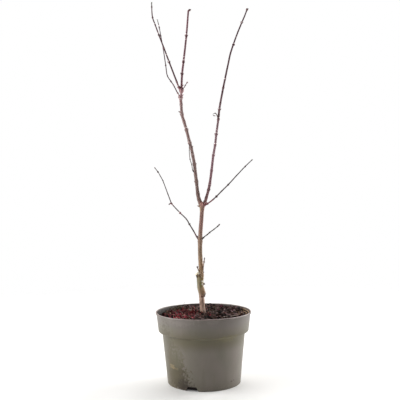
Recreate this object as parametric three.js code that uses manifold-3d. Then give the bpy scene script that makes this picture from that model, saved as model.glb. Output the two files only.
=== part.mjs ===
// A young grafted maple, bare in winter, in a round plastic nursery pot filled with bark compost.
// Millimetres, +X right, +Y back, +Z up. The origin is the middle of the pot's flat underside.

import * as THREE from 'three';
import Module from 'manifold-3d';
import { mergeVertices } from 'three/addons/utils/BufferGeometryUtils.js';

const wasm = await Module();
wasm.setup();

// Fit
const GAP = 0.3; // between neighbouring solids

// Pot
const POT_HEIGHT = 140;
const RIM_RADIUS = 95;
const FOOT_RADIUS = 72.4;
const SHOULDER_RADIUS = 82.2; // top of the body, right under the band
const BAND_LOW_RADIUS = 89.8;
const BAND_TOP_RADIUS = 93.6;
const BAND_HEIGHT = 36; // from the rim down to the band's lower edge
const SHOULDER_DROP = 4.5; // how far the band slants in below its lower edge
const LIP_HEIGHT = 3.6;
const WALL = 1.4;
const FLOOR = 2.2;
const FOOT_ROUND = 0.7;
const FOOT_CUT = 0.3; // where the bevel under the foot turns, in FOOT_ROUND
const EDGE_ROUND = 1.6;
const BAND_UNDERCUT = 0.8; // how far the band's lower edge is rounded, in EDGE_ROUND
const SHOULDER_INSIDE = 0.6; // how much higher the shoulder lies inside, in WALL
const LIP_ROUND = 1;
const LIP_INSIDE = 0.3; // how far the lip opens inside, in LIP_ROUND
const POT_SIDES = 56;
const NOTCH_COUNT = 3;
const NOTCH_TURN = -19; // degrees from the front towards the left
const NOTCH_WIDTH = 24;
const NOTCH_TOP_WIDTH = 17;
const NOTCH_HEIGHT = 8.5;
const NOTCH_INSIDE = 62; // how near the axis a notch reaches
const NOTCH_ROUND = 2; // at its upper corners, and how far it flares at the ground
const NOTCH_CORNER_DROP = 1.5; // how far its upper corners reach down
const NOTCH_STEPS = 3;
const CHANNEL_DEPTH = 0.9;
const CHANNEL_WIDTH = 7;
const CHANNEL_START = 26;

// Soil
const SOIL_TOP = 136; // at the stem
const SOIL_CROWN = 0.8; // how much lower the edge lies than the middle
const SOIL_LEFT_DIP = 7; // the compost has sunk along the left edge
const SOIL_DIP_SPAN = [48, 86]; // from where to where, to the left of the stem, it sinks
const SOIL_BACK_RISE = 1.2;
const SOIL_RISE_SPAN = [40, 80];
const SOIL_LUMP = 0.9;
const SOIL_LUMP_WAVES = [0.17, 0.21]; // radians a millimetre, to the right and to the back
const SOIL_LUMP_SHIFTS = [1.3, -0.4];
const SOIL_LUMP_SLANT = [0.43, -0.31];
const SOIL_SLANT_SHARE = 0.6; // of the slanting lumps beside the others
const SOIL_SEAT_RADIUS = 9; // level ground under the stem
const SOIL_EDGE_INSET = 0.5; // from the pot's wall at the height of the compost
const SOIL_RINGS = [78, 66, 53, 40, 28, 18];
const SOIL_SIDES = 40;

// Limbs. A limb is a row of internodes from foot to tip, each [length, lean to the right in degrees].
// A third number is what the node at its far end adds to the radius, 0 for a mere bend without buds. The
// lean to the back, in degrees, turns evenly from the foot's to the tip's. A branch starts on its
// parent's middle line at a height.
const TRUNK = {
  foot: [-0.6, 0, SOIL_TOP - 4],
  internodes: [
    [30, -4.4, 0.6], [21, -3.1, 0.9], [28, 1, 0.8], [50, -1.9, 0], [18, 1.3, 0.8],
    [18, 2.6, 0], [30, 5, 0], [16, 4, 0.4], [6.5, 3, 1.7],
  ],
  leanBack: [0.5, -0.5], footRadius: 4.9, tipRadius: 3.95, sides: 10, buds: false,
  flare: { extra: 0.8, height: 22 },
  spurs: [
    { at: 190, lean: 160.5, length: 20.5, radius: 3.8 },
    { at: 170.5, lean: 97, length: 7.8, radius: 2.1 },
    { at: 190.5, lean: 62, length: 8.8, radius: 1.9 },
    { at: 346, lean: -68, length: 10.2, radius: 1.3 },
    { at: 346, lean: 12, length: 8.5, radius: 1.9 },
  ],
};
// The rootstock above the graft was cut off flat.
const GRAFT_STUB = {
  height: 168, internodes: [[20, -10], [25.2, -7], [2.5, -34, 0]], leanBack: [-3, -3],
  footRadius: 4.8, tipRadius: 4, sides: 8, buds: false, flatTip: true,
};
const LEFT_BOUGH = {
  height: 348,
  internodes: [
    [15.5, -23.5, 0.5], [11, -10.5], [24, -6], [16, -6.5, 0.3], [19, -5.5], [20, -10, 0.5], [14, -11],
    [10.5, -15.5, 0.9], [25, -13.5, 0.6], [18, -15.5], [14.5, -15.5, 0.9], [20, -3.5], [13, -3.5, 2.1],
    [6, 9.5, -0.9], [7, 4, 1.9], [3.5, 0.5, 0.3],
  ],
  leanBack: [-5, -2], footRadius: 3.5, tipRadius: 2.7, sides: 7,
  spurs: [
    { at: 533, lean: -62, length: 7.5, radius: 1.1 },
    { at: 565, lean: 52, length: 7.2, radius: 0.9 },
  ],
};
const RIGHT_BOUGH = {
  height: 346,
  internodes: [
    [11.5, 29.5], [9.5, 18], [17, 16], [11, 13, 0.6], [28, 8.5, 0.5], [31.5, 7.5, 0.6], [21, 10.5, 0.5],
    [21.5, 7, 0.6], [31, 8.5, 0.7], [20.5, 6.5, 0.5], [45, 11, 0.5], [18, 12, 0.4], [31.5, 12.5, 0],
    [22, 13, 0], [19.5, 18.5, 0.7], [25, 20.5, 0], [24, 23, 0.4], [16, 23.5, 0], [13.5, 21, 0.8],
  ],
  leanBack: [5, 2], footRadius: 2.9, tipRadius: 1.35, sides: 7, budTurn: 103,
};
const LONG_SHOOT = {
  height: 576.5,
  internodes: [
    [9, -34.5], [11.5, -20], [41, -20.5], [28, -20], [27, -20.5], [21, -19.5], [15, -19],
    [20, -3.5, 0.4], [9.5, -1],
  ],
  leanBack: [-7, -3], footRadius: 1.75, tipRadius: 1.05, sides: 6,
};
const UPRIGHT_SHOOT = {
  height: 576.5,
  internodes: [
    [34.5, 3, 0.5], [24.5, 7, 0.7], [53, 6.8, 0.6], [46, 5.2, 0], [3.8, 6, 0], [4, 62],
  ],
  leanBack: [6, 1], footRadius: 2.25, tipRadius: 1.75, sides: 6,
  spurs: [{ at: 586, lean: 58, length: 4.8, radius: 0.9 }],
};
const CROSSING_SHOOT = {
  height: 563.5,
  internodes: [
    [11.5, -32.5], [18.5, -26.5], [10, -32.5], [12.5, -32], [23.5, -9], [34.5, -8], [27.5, -10],
    [17, -10, 0.6], [17, -13],
  ],
  leanBack: [12, 4], footRadius: 1.1, tipRadius: 0.8, sides: 5,
};
const WHORL_TWIG = {
  height: 576.5, internodes: [[5, 39], [4.5, 43.5], [4.5, 31], [4.5, 34.5], [3, 44.5, 0.35]],
  leanBack: [-20, -10], footRadius: 0.85, tipRadius: 0.65, sides: 5,
};
const BOUGH_TWIG = {
  height: 411, internodes: [[11, -31], [11, -10], [12.5, -15.5], [16, -4], [13, 2]],
  leanBack: [-14, -6], footRadius: 0.8, tipRadius: 0.6, sides: 5,
};
const RIGHT_BRANCH = {
  height: 347,
  internodes: [
    [13, 59], [14, 53.5], [9.5, 48, 0.4], [14.5, 45], [19, 46], [24.5, 43], [24.5, 44, 0.35], [19.5, 47],
  ],
  leanBack: [-14, -8], footRadius: 1.5, tipRadius: 0.9, sides: 6,
};
const LEFT_BRANCH = {
  height: 277,
  internodes: [
    [12.5, -32.5], [14.5, -28.5], [15.5, -31], [11.5, -30.5], [18.5, -44.5, 0.5], [25.5, -42, 0.8],
    [5, -24.5, 0], [16.5, -20.5], [29.5, -20.5], [10.5, -27.5], [10.5, -30, 0.4], [11, -37.5, 0.3],
  ],
  leanBack: [12, 6], footRadius: 1.4, tipRadius: 0.75, sides: 6,
  spurs: [{ at: 356, lean: -125, length: 6.5, radius: 1.1 }],
};
const RIGHT_TWIG = {
  height: 277, internodes: [[12, 37], [10, 51.5], [6.5, 48.5], [10.5, 54], [10, 51], [5.5, 44, 0.4]],
  leanBack: [-15, -10], footRadius: 1.2, tipRadius: 0.9, sides: 6,
};
const GRAFT_TWIG_LEFT = {
  height: 213, internodes: [[6, -38], [5.5, -25], [8.5, -18.5, 0.4]],
  leanBack: [-34, -15], footRadius: 1.1, tipRadius: 0.9, sides: 5,
};
const GRAFT_TWIG_RIGHT = {
  height: 213, internodes: [[6, 33], [11.5, 6.5], [9.5, 9.5], [8, 8]],
  leanBack: [-12, -8], footRadius: 1.25, tipRadius: 0.95, sides: 5,
};
// The stalk of a fallen leaf, dried into a curl.
const CURLED_STALK = {
  height: 522,
  internodes: [
    [6.5, -13], [7.8, -29], [1.5, -75, 0.25], [2, -105, -0.1], [2.6, -125, -0.2],
    [2.2, -175, -0.2], [2, -225, 0.3], [2.8, -265, 0.5],
  ],
  leanBack: [-16, -16], footRadius: 1.15, tipRadius: 0.35, sides: 5, buds: false,
};

// Nodes and buds
const NODE_SWELLING = 0.16; // of the radius, where an internode gives none of its own
const NODE_REACH = 1.1; // half the height of a node's swelling, in radii
const NODE_REACH_LEAST = 1.4;
const RING_STEP = 15;
const RING_STEP_LEAST = 0.35;
const RING_BESIDE_NODE = 1.2; // how far the rings beside a node stand off, in its reach
const CURVE_STEPS = 40; // for measuring along each internode
const TIP_SHOULDER = 0.6; // how a rounded tip narrows, in its radius
const TIP_CAP = 0.25;
const BUD_LENGTH = 2.9;
const BUD_DROP = 1.8; // how far below the middle of its node a bud is seated
const BUD_RADIUS = 0.95;
const BUD_BELLY = 0.42; // how far along a bud is widest
const BUD_SEAT = 0.45; // how deep its foot sits, in the limb's radius
const BUD_BASE = 0.6; // what the sunk base adds to its length, in the limb's radius
const BUD_SIZES = [0.75, 1.1];
const BUD_STOUTNESS = [0.62, 1.15]; // on the thinnest and on the thickest limbs
const BUD_LEAN = 32; // degrees away from the limb
const BUD_SIDES = 4;
const BUD_TURN = 90; // each pair of buds stands across the pair below, unless the limb is twisted
const BUD_JITTER = 14;
const BUD_LIMB_RADIUS = 1.6; // a limb this thick bears full-sized buds
const BUD_SHARE = 0.9; // of the places that have kept their bud
const SPUR_SIDES = 6;
const SPUR_FOOT = 1.25; // how much wider a spur is at its foot, and narrower at its end
const SPUR_END = 0.7;
const SPUR_SHOULDER = 0.9;
const FINEST = 0.04; // slivers finer than this are smoothed away where limbs join
const SAME_PLACE = 1e-4; // points nearer than this are one
const SAME_HEIGHT = 1e-5; // in shares of a limb's length
const BUD_SEED = 1907;

const BACK = new THREE.Vector3(0, 1, 0);
const radians = THREE.MathUtils.degToRad;

// Solids

function toSolid(geometry) {
  const bare = geometry.clone();
  bare.deleteAttribute('normal');
  bare.deleteAttribute('uv');
  const merged = mergeVertices(bare, SAME_PLACE);
  const corners = merged.index.array;
  const kept = [];
  for (let i = 0; i < corners.length; i += 3) {
    const [a, b, c] = corners.slice(i, i + 3);
    if (a !== b && b !== c && c !== a) kept.push(a, b, c);
  }
  return new wasm.Manifold(new wasm.Mesh({
    numProp: 3,
    vertProperties: new Float32Array(merged.attributes.position.array),
    triVerts: new Uint32Array(kept),
  }));
}

function toGeometry(solid) {
  const mesh = solid.getMesh();
  const geometry = new THREE.BufferGeometry();
  geometry.setAttribute('position', new THREE.BufferAttribute(mesh.vertProperties, 3));
  geometry.setIndex(new THREE.BufferAttribute(mesh.triVerts, 1));
  geometry.computeVertexNormals();
  return geometry;
}

function largestPiece(solid) {
  return solid.decompose().reduce((best, piece) => (piece.volume() > best.volume() ? piece : best));
}

// A solid of revolution about +Z from [radius, height] pairs that start and end on the axis.
function turned(profile, sides) {
  const points = profile.map(([radius, height]) => new THREE.Vector2(radius, height));
  return new THREE.LatheGeometry(points, sides).rotateX(Math.PI / 2);
}

// Places a shape that stands on +Z at a foot, along a direction.
function aimed(geometry, foot, direction) {
  const turn = new THREE.Quaternion().setFromUnitVectors(new THREE.Vector3(0, 0, 1), direction);
  return geometry.applyQuaternion(turn).translate(foot.x, foot.y, foot.z);
}

// Limbs

function leaning(right, back) {
  const level = Math.cos(radians(back));
  return new THREE.Vector3(
    Math.sin(radians(right)) * level,
    Math.sin(radians(back)),
    Math.cos(radians(right)) * level,
  );
}

// Walks the internodes and gives the limb its middle line and the place of each node along it.
function grow(spec, foot) {
  const joints = [foot.clone()];
  const whole = spec.internodes.reduce((sum, [length]) => sum + length, 0);
  let run = 0;
  for (const [length, lean] of spec.internodes) {
    const share = (run + length / 2) / whole;
    const back = THREE.MathUtils.lerp(spec.leanBack[0], spec.leanBack[1], share);
    joints.push(joints.at(-1).clone().addScaledVector(leaning(lean, back), length));
    run += length;
  }
  const curve = new THREE.CatmullRomCurve3(joints, false, 'centripetal');
  curve.arcLengthDivisions = CURVE_STEPS * spec.internodes.length;
  const lengths = curve.getLengths();
  const nodes = spec.internodes.map(([, , extra], i) => ({ at: lengths[(i + 1) * CURVE_STEPS], extra }));
  return { spec, curve, nodes, length: curve.getLength() };
}

function radiusAt(limb, at) {
  const { footRadius, tipRadius, flare } = limb.spec;
  const plain = THREE.MathUtils.lerp(footRadius, tipRadius, at / limb.length);
  const reach = Math.max(NODE_REACH_LEAST, NODE_REACH * plain);
  let radius = plain;
  for (const node of limb.nodes) {
    const extra = node.extra ?? NODE_SWELLING * plain;
    radius += extra * Math.exp(-(((at - node.at) / reach) ** 2));
  }
  if (flare) radius += flare.extra * Math.exp(-((at / flare.height) ** 2));
  return radius;
}

// Where the rings of a limb's surface lie: at each node, on both sides of it, and between nodes.
function ringPlaces(limb) {
  const places = [0, limb.length];
  if (limb.spec.flare) places.push(limb.spec.flare.height / 2, limb.spec.flare.height * 1.5);
  let last = 0;
  for (const node of limb.nodes) {
    const reach = Math.max(NODE_REACH_LEAST, NODE_REACH * radiusAt(limb, node.at));
    const beside = reach * RING_BESIDE_NODE;
    places.push(node.at - beside, node.at, node.at + beside);
    const span = node.at - last;
    const parts = Math.ceil(span / RING_STEP);
    for (let i = 1; i < parts; i += 1) places.push(last + (span * i) / parts);
    last = node.at;
  }
  const sorted = places.filter((at) => at >= 0 && at <= limb.length).sort((a, b) => a - b);
  const apart = (at, i) => i === 0 || at - sorted[i - 1] > RING_STEP_LEAST;
  return sorted.filter((at, i) => apart(at, i) || at === limb.length);
}

function frameAt(limb, at) {
  const share = THREE.MathUtils.clamp(at / limb.length, 0, 1);
  const along = limb.curve.getTangentAt(share);
  const right = new THREE.Vector3().crossVectors(along, BACK).normalize();
  const front = new THREE.Vector3().crossVectors(right, along);
  return { place: limb.curve.getPointAt(share), along, right, front };
}

// The limb's own tube, a turned profile laid along the middle line. extra widens it all over.
function tube(limb, extra = 0) {
  const profile = [[0, -extra]];
  for (const at of ringPlaces(limb)) profile.push([radiusAt(limb, at) + extra, at]);
  profile[1][1] = -extra;
  const last = profile.at(-1);
  if (limb.spec.flatTip) {
    last[1] += extra;
  } else {
    profile.push([last[0] * TIP_SHOULDER, last[1] + last[0] * TIP_SHOULDER]);
  }
  profile.push([0, profile.at(-1)[1] + (limb.spec.flatTip ? 0 : last[0] * TIP_CAP)]);
  const geometry = turned(profile, limb.spec.sides);
  const position = geometry.attributes.position;
  for (let i = 0; i < position.count; i += 1) {
    const at = position.getZ(i);
    const { place, along, right, front } = frameAt(limb, at);
    const past = at - THREE.MathUtils.clamp(at, 0, limb.length);
    place.addScaledVector(right, position.getX(i)).addScaledVector(front, -position.getY(i));
    place.addScaledVector(along, past);
    position.setXYZ(i, place.x, place.y, place.z);
  }
  return toSolid(geometry);
}

function bud(limb, at, turn, size, extra) {
  const { place, along, right, front } = frameAt(limb, at);
  const out = right.multiplyScalar(Math.cos(turn)).addScaledVector(front, Math.sin(turn));
  const across = new THREE.Vector3().crossVectors(along, out);
  const direction = along.clone().applyAxisAngle(across, radians(BUD_LEAN));
  const radius = radiusAt(limb, at);
  const foot = place.addScaledVector(out, radius * BUD_SEAT).addScaledVector(direction, -extra);
  const length = BUD_LENGTH * size + radius * BUD_BASE + extra * 2;
  const width = BUD_RADIUS * size + extra;
  const profile = [[0, 0], [width, length * BUD_BELLY], [0, length]];
  return toSolid(aimed(turned(profile, BUD_SIDES), foot, direction));
}

// A pair of buds at every node, each pair turned across the last, sized and turned a little at random.
function budPairs(limb, seed, extra) {
  const draw = seeded(seed);
  const turn = limb.spec.budTurn ?? BUD_TURN;
  const solids = [];
  limb.nodes.forEach((node, i) => {
    const pairTurn = radians(i * turn + (draw() * 2 - 1) * BUD_JITTER);
    for (const side of [0, Math.PI]) {
      const stout = THREE.MathUtils.clamp(radiusAt(limb, node.at) / BUD_LIMB_RADIUS, ...BUD_STOUTNESS);
      const size = stout * THREE.MathUtils.lerp(...BUD_SIZES, draw());
      if (draw() >= BUD_SHARE || node.extra === 0) continue;
      solids.push(bud(limb, node.at - BUD_DROP, pairTurn + side, size, extra));
    }
  });
  return solids;
}

function spur(limb, { at, lean, length, radius }, extra) {
  const foot = placeAtHeight(limb, at);
  const far = length + extra;
  const profile = [
    [0, 0],
    [radius * SPUR_FOOT + extra, 0],
    [radius + extra, far * SPUR_SHOULDER],
    [radius * SPUR_END + extra, far],
    [0, far],
  ];
  return toSolid(aimed(turned(profile, SPUR_SIDES), foot, leaning(lean, 0)));
}

function placeAtHeight(limb, height) {
  let low = 0;
  let high = 1;
  while (high - low > SAME_HEIGHT) {
    const middle = (low + high) / 2;
    if (limb.curve.getPointAt(middle).z < height) low = middle;
    else high = middle;
  }
  return limb.curve.getPointAt(low);
}

// A repeatable stream of numbers from 0 to 1.
function seeded(seed) {
  let state = seed;
  return () => {
    state = (state + 0x6d2b79f5) | 0;
    let mixed = Math.imul(state ^ (state >>> 15), 1 | state);
    mixed = (mixed + Math.imul(mixed ^ (mixed >>> 7), 61 | mixed)) ^ mixed;
    return ((mixed ^ (mixed >>> 14)) >>> 0) / 4294967296;
  };
}

function wholeLimb(limb, seed, extra = 0) {
  const solids = [tube(limb, extra)];
  for (const one of limb.spec.spurs ?? []) solids.push(spur(limb, one, extra));
  if (limb.spec.buds !== false) solids.push(...budPairs(limb, seed, extra));
  return wasm.Manifold.union(solids);
}

// Grows each limb on its parent and cuts it clear of every limb that was there before it.
function growTree(plan) {
  const limbs = {};
  const solids = {};
  const widened = [];
  plan.forEach(({ name, spec, on, fused }, i) => {
    const foot = on ? placeAtHeight(limbs[on], spec.height) : new THREE.Vector3(...spec.foot);
    const limb = grow(spec, foot);
    let solid = wholeLimb(limb, BUD_SEED + i);
    let wide = wholeLimb(limb, BUD_SEED + i, GAP);
    if (fused) {
      const other = grow(fused, placeAtHeight(limb, fused.height));
      solid = solid.add(wholeLimb(other, BUD_SEED));
      wide = wide.add(wholeLimb(other, BUD_SEED, GAP));
    }
    for (const before of widened) solid = solid.subtract(before);
    if (!on) solid = solid.trimByPlane([0, 0, 1], SOIL_TOP);
    widened.push(wide);
    limbs[name] = limb;
    solids[name] = largestPiece(solid).simplify(FINEST);
  });
  return solids;
}

// Pot

function potProfile() {
  const bandLow = POT_HEIGHT - BAND_HEIGHT;
  const shoulder = bandLow - SHOULDER_DROP;
  const lipLow = POT_HEIGHT - LIP_HEIGHT;
  return {
    outside: [
      [0, 0],
      [FOOT_RADIUS - FOOT_ROUND, 0],
      [FOOT_RADIUS - FOOT_ROUND * FOOT_CUT, FOOT_ROUND * FOOT_CUT],
      [FOOT_RADIUS, FOOT_ROUND],
      [SHOULDER_RADIUS, shoulder],
      [BAND_LOW_RADIUS - EDGE_ROUND, bandLow - EDGE_ROUND * BAND_UNDERCUT],
      [BAND_LOW_RADIUS, bandLow],
      [BAND_TOP_RADIUS, lipLow],
      [RIM_RADIUS, lipLow + LIP_ROUND / 2],
      [RIM_RADIUS, POT_HEIGHT - LIP_ROUND],
      [RIM_RADIUS - LIP_ROUND, POT_HEIGHT],
    ],
    inside: [
      [BAND_TOP_RADIUS - WALL + LIP_ROUND * LIP_INSIDE, POT_HEIGHT],
      [BAND_TOP_RADIUS - WALL, POT_HEIGHT - LIP_ROUND],
      [BAND_LOW_RADIUS - WALL, bandLow + WALL],
      [SHOULDER_RADIUS - WALL, shoulder + WALL * SHOULDER_INSIDE],
      [FOOT_RADIUS - WALL, FLOOR],
      [0, FLOOR],
    ],
  };
}

function notch() {
  const half = NOTCH_WIDTH / 2;
  const topHalf = NOTCH_TOP_WIDTH / 2;
  const cornerHalf = topHalf + NOTCH_ROUND / 2;
  const cornerHeight = NOTCH_HEIGHT - NOTCH_CORNER_DROP;
  const shape = new THREE.Shape();
  shape.moveTo(-half - NOTCH_ROUND, -NOTCH_ROUND / 2);
  shape.lineTo(-half, 0);
  shape.lineTo(-cornerHalf, cornerHeight);
  shape.quadraticCurveTo(-topHalf, NOTCH_HEIGHT, -topHalf + NOTCH_ROUND, NOTCH_HEIGHT);
  shape.lineTo(topHalf - NOTCH_ROUND, NOTCH_HEIGHT);
  shape.quadraticCurveTo(topHalf, NOTCH_HEIGHT, cornerHalf, cornerHeight);
  shape.lineTo(half, 0);
  shape.lineTo(half + NOTCH_ROUND, -NOTCH_ROUND / 2);
  const depth = RIM_RADIUS - NOTCH_INSIDE;
  const extrusion = { depth, bevelEnabled: false, curveSegments: NOTCH_STEPS };
  const geometry = new THREE.ExtrudeGeometry(shape, extrusion);
  return geometry.rotateX(Math.PI / 2).translate(0, -NOTCH_INSIDE, 0);
}

function drainChannel() {
  const length = NOTCH_INSIDE + 1 - CHANNEL_START;
  const geometry = new THREE.BoxGeometry(CHANNEL_WIDTH, length, CHANNEL_DEPTH * 2);
  return geometry.translate(0, -CHANNEL_START - length / 2, 0);
}

function pot() {
  const { outside, inside } = potProfile();
  let solid = toSolid(turned([...outside, ...inside], POT_SIDES));
  for (let i = 0; i < NOTCH_COUNT; i += 1) {
    const turn = radians(NOTCH_TURN + (360 * i) / NOTCH_COUNT);
    solid = solid.subtract(toSolid(notch().rotateZ(turn)));
    solid = solid.subtract(toSolid(drainChannel().rotateZ(turn)));
  }
  return solid;
}

// Soil

function smooth(from, to, value) {
  return THREE.MathUtils.smoothstep(value, from, to);
}

// Height of the compost at a place: a low crown with soft lumps, sunk at the left edge and banked up
// at the back.
function soilHeight(x, y) {
  const out = Math.hypot(x, y);
  const edge = out / RIM_RADIUS;
  const across = Math.sin(x * SOIL_LUMP_WAVES[0] + SOIL_LUMP_SHIFTS[0]);
  const wave = across * Math.cos(y * SOIL_LUMP_WAVES[1] + SOIL_LUMP_SHIFTS[1]);
  const slant = Math.sin(x * SOIL_LUMP_SLANT[0] + y * SOIL_LUMP_SLANT[1]);
  const lumps = wave + SOIL_SLANT_SHARE * slant;
  const away = smooth(SOIL_SEAT_RADIUS, SOIL_SEAT_RADIUS * 3, out);
  const left = SOIL_LEFT_DIP * smooth(...SOIL_DIP_SPAN, -x);
  const back = SOIL_BACK_RISE * smooth(...SOIL_RISE_SPAN, y);
  return SOIL_TOP - GAP - SOIL_CROWN * edge * edge + SOIL_LUMP * lumps * away - left + back;
}

function soil() {
  const { inside } = potProfile();
  const [, wallTop, bandFoot, shoulder, floorEdge] = inside;
  const wallShare = (SOIL_TOP - SOIL_LEFT_DIP - bandFoot[1]) / (wallTop[1] - bandFoot[1]);
  const wallRadius = THREE.MathUtils.lerp(bandFoot[0], wallTop[0], wallShare);
  const topRings = [wallRadius - SOIL_EDGE_INSET, ...SOIL_RINGS, SOIL_SEAT_RADIUS];
  const profile = [
    [0, FLOOR + GAP],
    [floorEdge[0] - GAP, FLOOR + GAP],
    [shoulder[0] - GAP, shoulder[1]],
    [bandFoot[0] - GAP, bandFoot[1]],
    ...topRings.map((radius) => [radius, SOIL_TOP]),
    [0, SOIL_TOP],
  ];
  const geometry = turned(profile, SOIL_SIDES);
  const position = geometry.attributes.position;
  for (let i = 0; i < position.count; i += 1) {
    if (position.getZ(i) !== SOIL_TOP) continue;
    position.setZ(i, soilHeight(position.getX(i), position.getY(i)));
  }
  return toSolid(geometry);
}

// Scene

const PLASTIC = new THREE.Color(0x7b766c);
const COMPOST = new THREE.Color(0x33261f);
const BARK = new THREE.Color(0x7c6a59);
const RED_BARK = new THREE.Color(0x80605f);
const TWIG_BARK = new THREE.Color(0x86735f);
const PLASTIC_ROUGHNESS = 0.55;
const COMPOST_ROUGHNESS = 0.95;
const BARK_ROUGHNESS = 0.8;

function node(name, solid, color, roughness) {
  const material = new THREE.MeshStandardMaterial({ color, roughness, metalness: 0 });
  const mesh = new THREE.Mesh(toGeometry(solid), material);
  mesh.name = name;
  return mesh;
}

const PLAN = [
  { name: 'trunk', spec: TRUNK, fused: GRAFT_STUB, color: BARK },
  { name: 'left_bough', spec: LEFT_BOUGH, on: 'trunk', color: BARK },
  { name: 'right_bough', spec: RIGHT_BOUGH, on: 'trunk', color: RED_BARK },
  { name: 'upright_shoot', spec: UPRIGHT_SHOOT, on: 'left_bough', color: RED_BARK },
  { name: 'long_shoot', spec: LONG_SHOOT, on: 'left_bough', color: RED_BARK },
  { name: 'crossing_shoot', spec: CROSSING_SHOOT, on: 'left_bough', color: TWIG_BARK },
  { name: 'whorl_twig', spec: WHORL_TWIG, on: 'left_bough', color: TWIG_BARK },
  { name: 'bough_twig', spec: BOUGH_TWIG, on: 'left_bough', color: TWIG_BARK },
  { name: 'right_branch', spec: RIGHT_BRANCH, on: 'trunk', color: TWIG_BARK },
  { name: 'left_branch', spec: LEFT_BRANCH, on: 'trunk', color: TWIG_BARK },
  { name: 'right_twig', spec: RIGHT_TWIG, on: 'trunk', color: TWIG_BARK },
  { name: 'graft_twig_left', spec: GRAFT_TWIG_LEFT, on: 'trunk', color: TWIG_BARK },
  { name: 'graft_twig_right', spec: GRAFT_TWIG_RIGHT, on: 'trunk', color: TWIG_BARK },
  { name: 'curled_stalk', spec: CURLED_STALK, on: 'right_bough', color: TWIG_BARK },
];

const plant = new THREE.Group();
plant.add(node('pot', pot(), PLASTIC, PLASTIC_ROUGHNESS));
plant.add(node('soil', soil(), COMPOST, COMPOST_ROUGHNESS));
const limbSolids = growTree(PLAN);
for (const { name, color } of PLAN) plant.add(node(name, limbSolids[name], color, BARK_ROUGHNESS));

export default plant;
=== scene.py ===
"""A young grafted maple, bare in winter, in a round plastic nursery pot filled with bark compost."""
import math
import random

import bmesh
import bpy
import numpy as np
from mathutils import Matrix, Vector, noise


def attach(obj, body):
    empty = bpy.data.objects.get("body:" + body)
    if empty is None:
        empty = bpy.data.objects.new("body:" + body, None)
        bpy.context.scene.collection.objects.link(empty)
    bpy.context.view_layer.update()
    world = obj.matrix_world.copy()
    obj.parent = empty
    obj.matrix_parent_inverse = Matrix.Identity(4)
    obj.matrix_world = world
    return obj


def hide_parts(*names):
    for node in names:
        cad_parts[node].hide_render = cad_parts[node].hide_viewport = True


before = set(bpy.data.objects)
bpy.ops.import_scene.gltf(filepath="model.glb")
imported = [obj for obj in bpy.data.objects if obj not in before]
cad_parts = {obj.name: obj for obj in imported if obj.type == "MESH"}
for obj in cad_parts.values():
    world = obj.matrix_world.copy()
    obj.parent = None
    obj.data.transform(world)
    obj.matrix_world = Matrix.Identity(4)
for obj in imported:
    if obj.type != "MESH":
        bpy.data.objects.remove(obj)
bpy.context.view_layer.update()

# Lengths are in millimetres up to the point where a mesh is made, and colours are screen colours.
MM = 0.001

# Camera, at the photograph's viewing angle
CAMERA_PLACE = (-4.1, -1250, 361)
CAMERA_ROLL = -0.7
FOCAL_LENGTH = 56.4
SENSOR_WIDTH = 36
CLIP_START = 0.05

# Pot
POT_HEIGHT = 140
RIM_RADIUS = 95
FOOT_RADIUS = 72.4
SHOULDER_RADIUS = 82.2
BAND_LOW_RADIUS = 89.8
BAND_TOP_RADIUS = 93.6
BAND_LOW = 104
SHOULDER = BAND_LOW - 4.5
LIP_LOW = POT_HEIGHT - 3.6
WALL = 1.4
FLOOR = 2.2
FOOT_ROUND = 0.7
# The step over the shoulder and the tuck under the band, as (out, up), and what is rounded over
SHOULDER_STEP = [(0.25, 0.1), (1, 0.75)]
BAND_TUCK = (-2.4, -2)
BAND_ROUND = 1.9
LIP_UNDER_ROUND = 0.7
LIP_ROUND = 1
POT_SIDES = 216
POT_CREASE = 38
NOTCH_COUNT = 3
NOTCH_TURN = -19
NOTCH_WIDTH = 24
NOTCH_TOP_WIDTH = 17
NOTCH_HEIGHT = 8.5
NOTCH_CORNER = (3, 1.8)
NOTCH_INSIDE = 62
CHANNEL_DEPTH = 0.9
CHANNEL_WIDTH = 7
CHANNEL_START = 26
# The moulded rim isn't quite round or level: (how much, waves round the pot, their start)
RIM_SPREAD = [(0.0016, 2, 0.6), (0.0007, 5, 2)]
RIM_LIFT = [(0.22, 3, 1), (0.12, 8, 0)]
RIM_SAG = 0.25

# Soil
GAP = 0.3
SOIL_TOP = 136
SOIL_CROWN = 0.8
SOIL_LEFT_DIP = 7
SOIL_DIP_SPAN = (48, 86)
SOIL_BACK_RISE = 1.2
SOIL_RISE_SPAN = (40, 80)
SOIL_LUMP = 0.9
SOIL_LUMP_WAVES = (0.17, 0.21)
SOIL_LUMP_SLANT = (0.43, -0.31)
SOIL_SEAT_RADIUS = 9
SOIL_EDGE_RADIUS = 90
SOIL_SWELL = 3.6
SWELL_SIZE = 9
BED_RINGS = 76
BED_SIDES = 240
BED_DEPTH = 1.2
# Crumbs of the compost on its top and on its side: how high, and how wide
BED_CRUMBS = 1.4
CRUMB_SIZES = (4, 1.9)
BED_SIDE_CRUMBS = 0.6
SIDE_CRUMB_SIZE = 5
STEM_CLEAR = 8
STEM_FOOT = 6
BACK_SINK = 1.4
EDGE_CLEAR = 2.5
CHIP_TILT = 0.7
LEAF_TILT = 0.9
SHEET_HALF = 0.012
SHRED_ROWS = 7
LEAF_RINGS = 4
LOBE_SIDES = 6
LITTER_SEED = 41
ROOTLETS = 90

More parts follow.
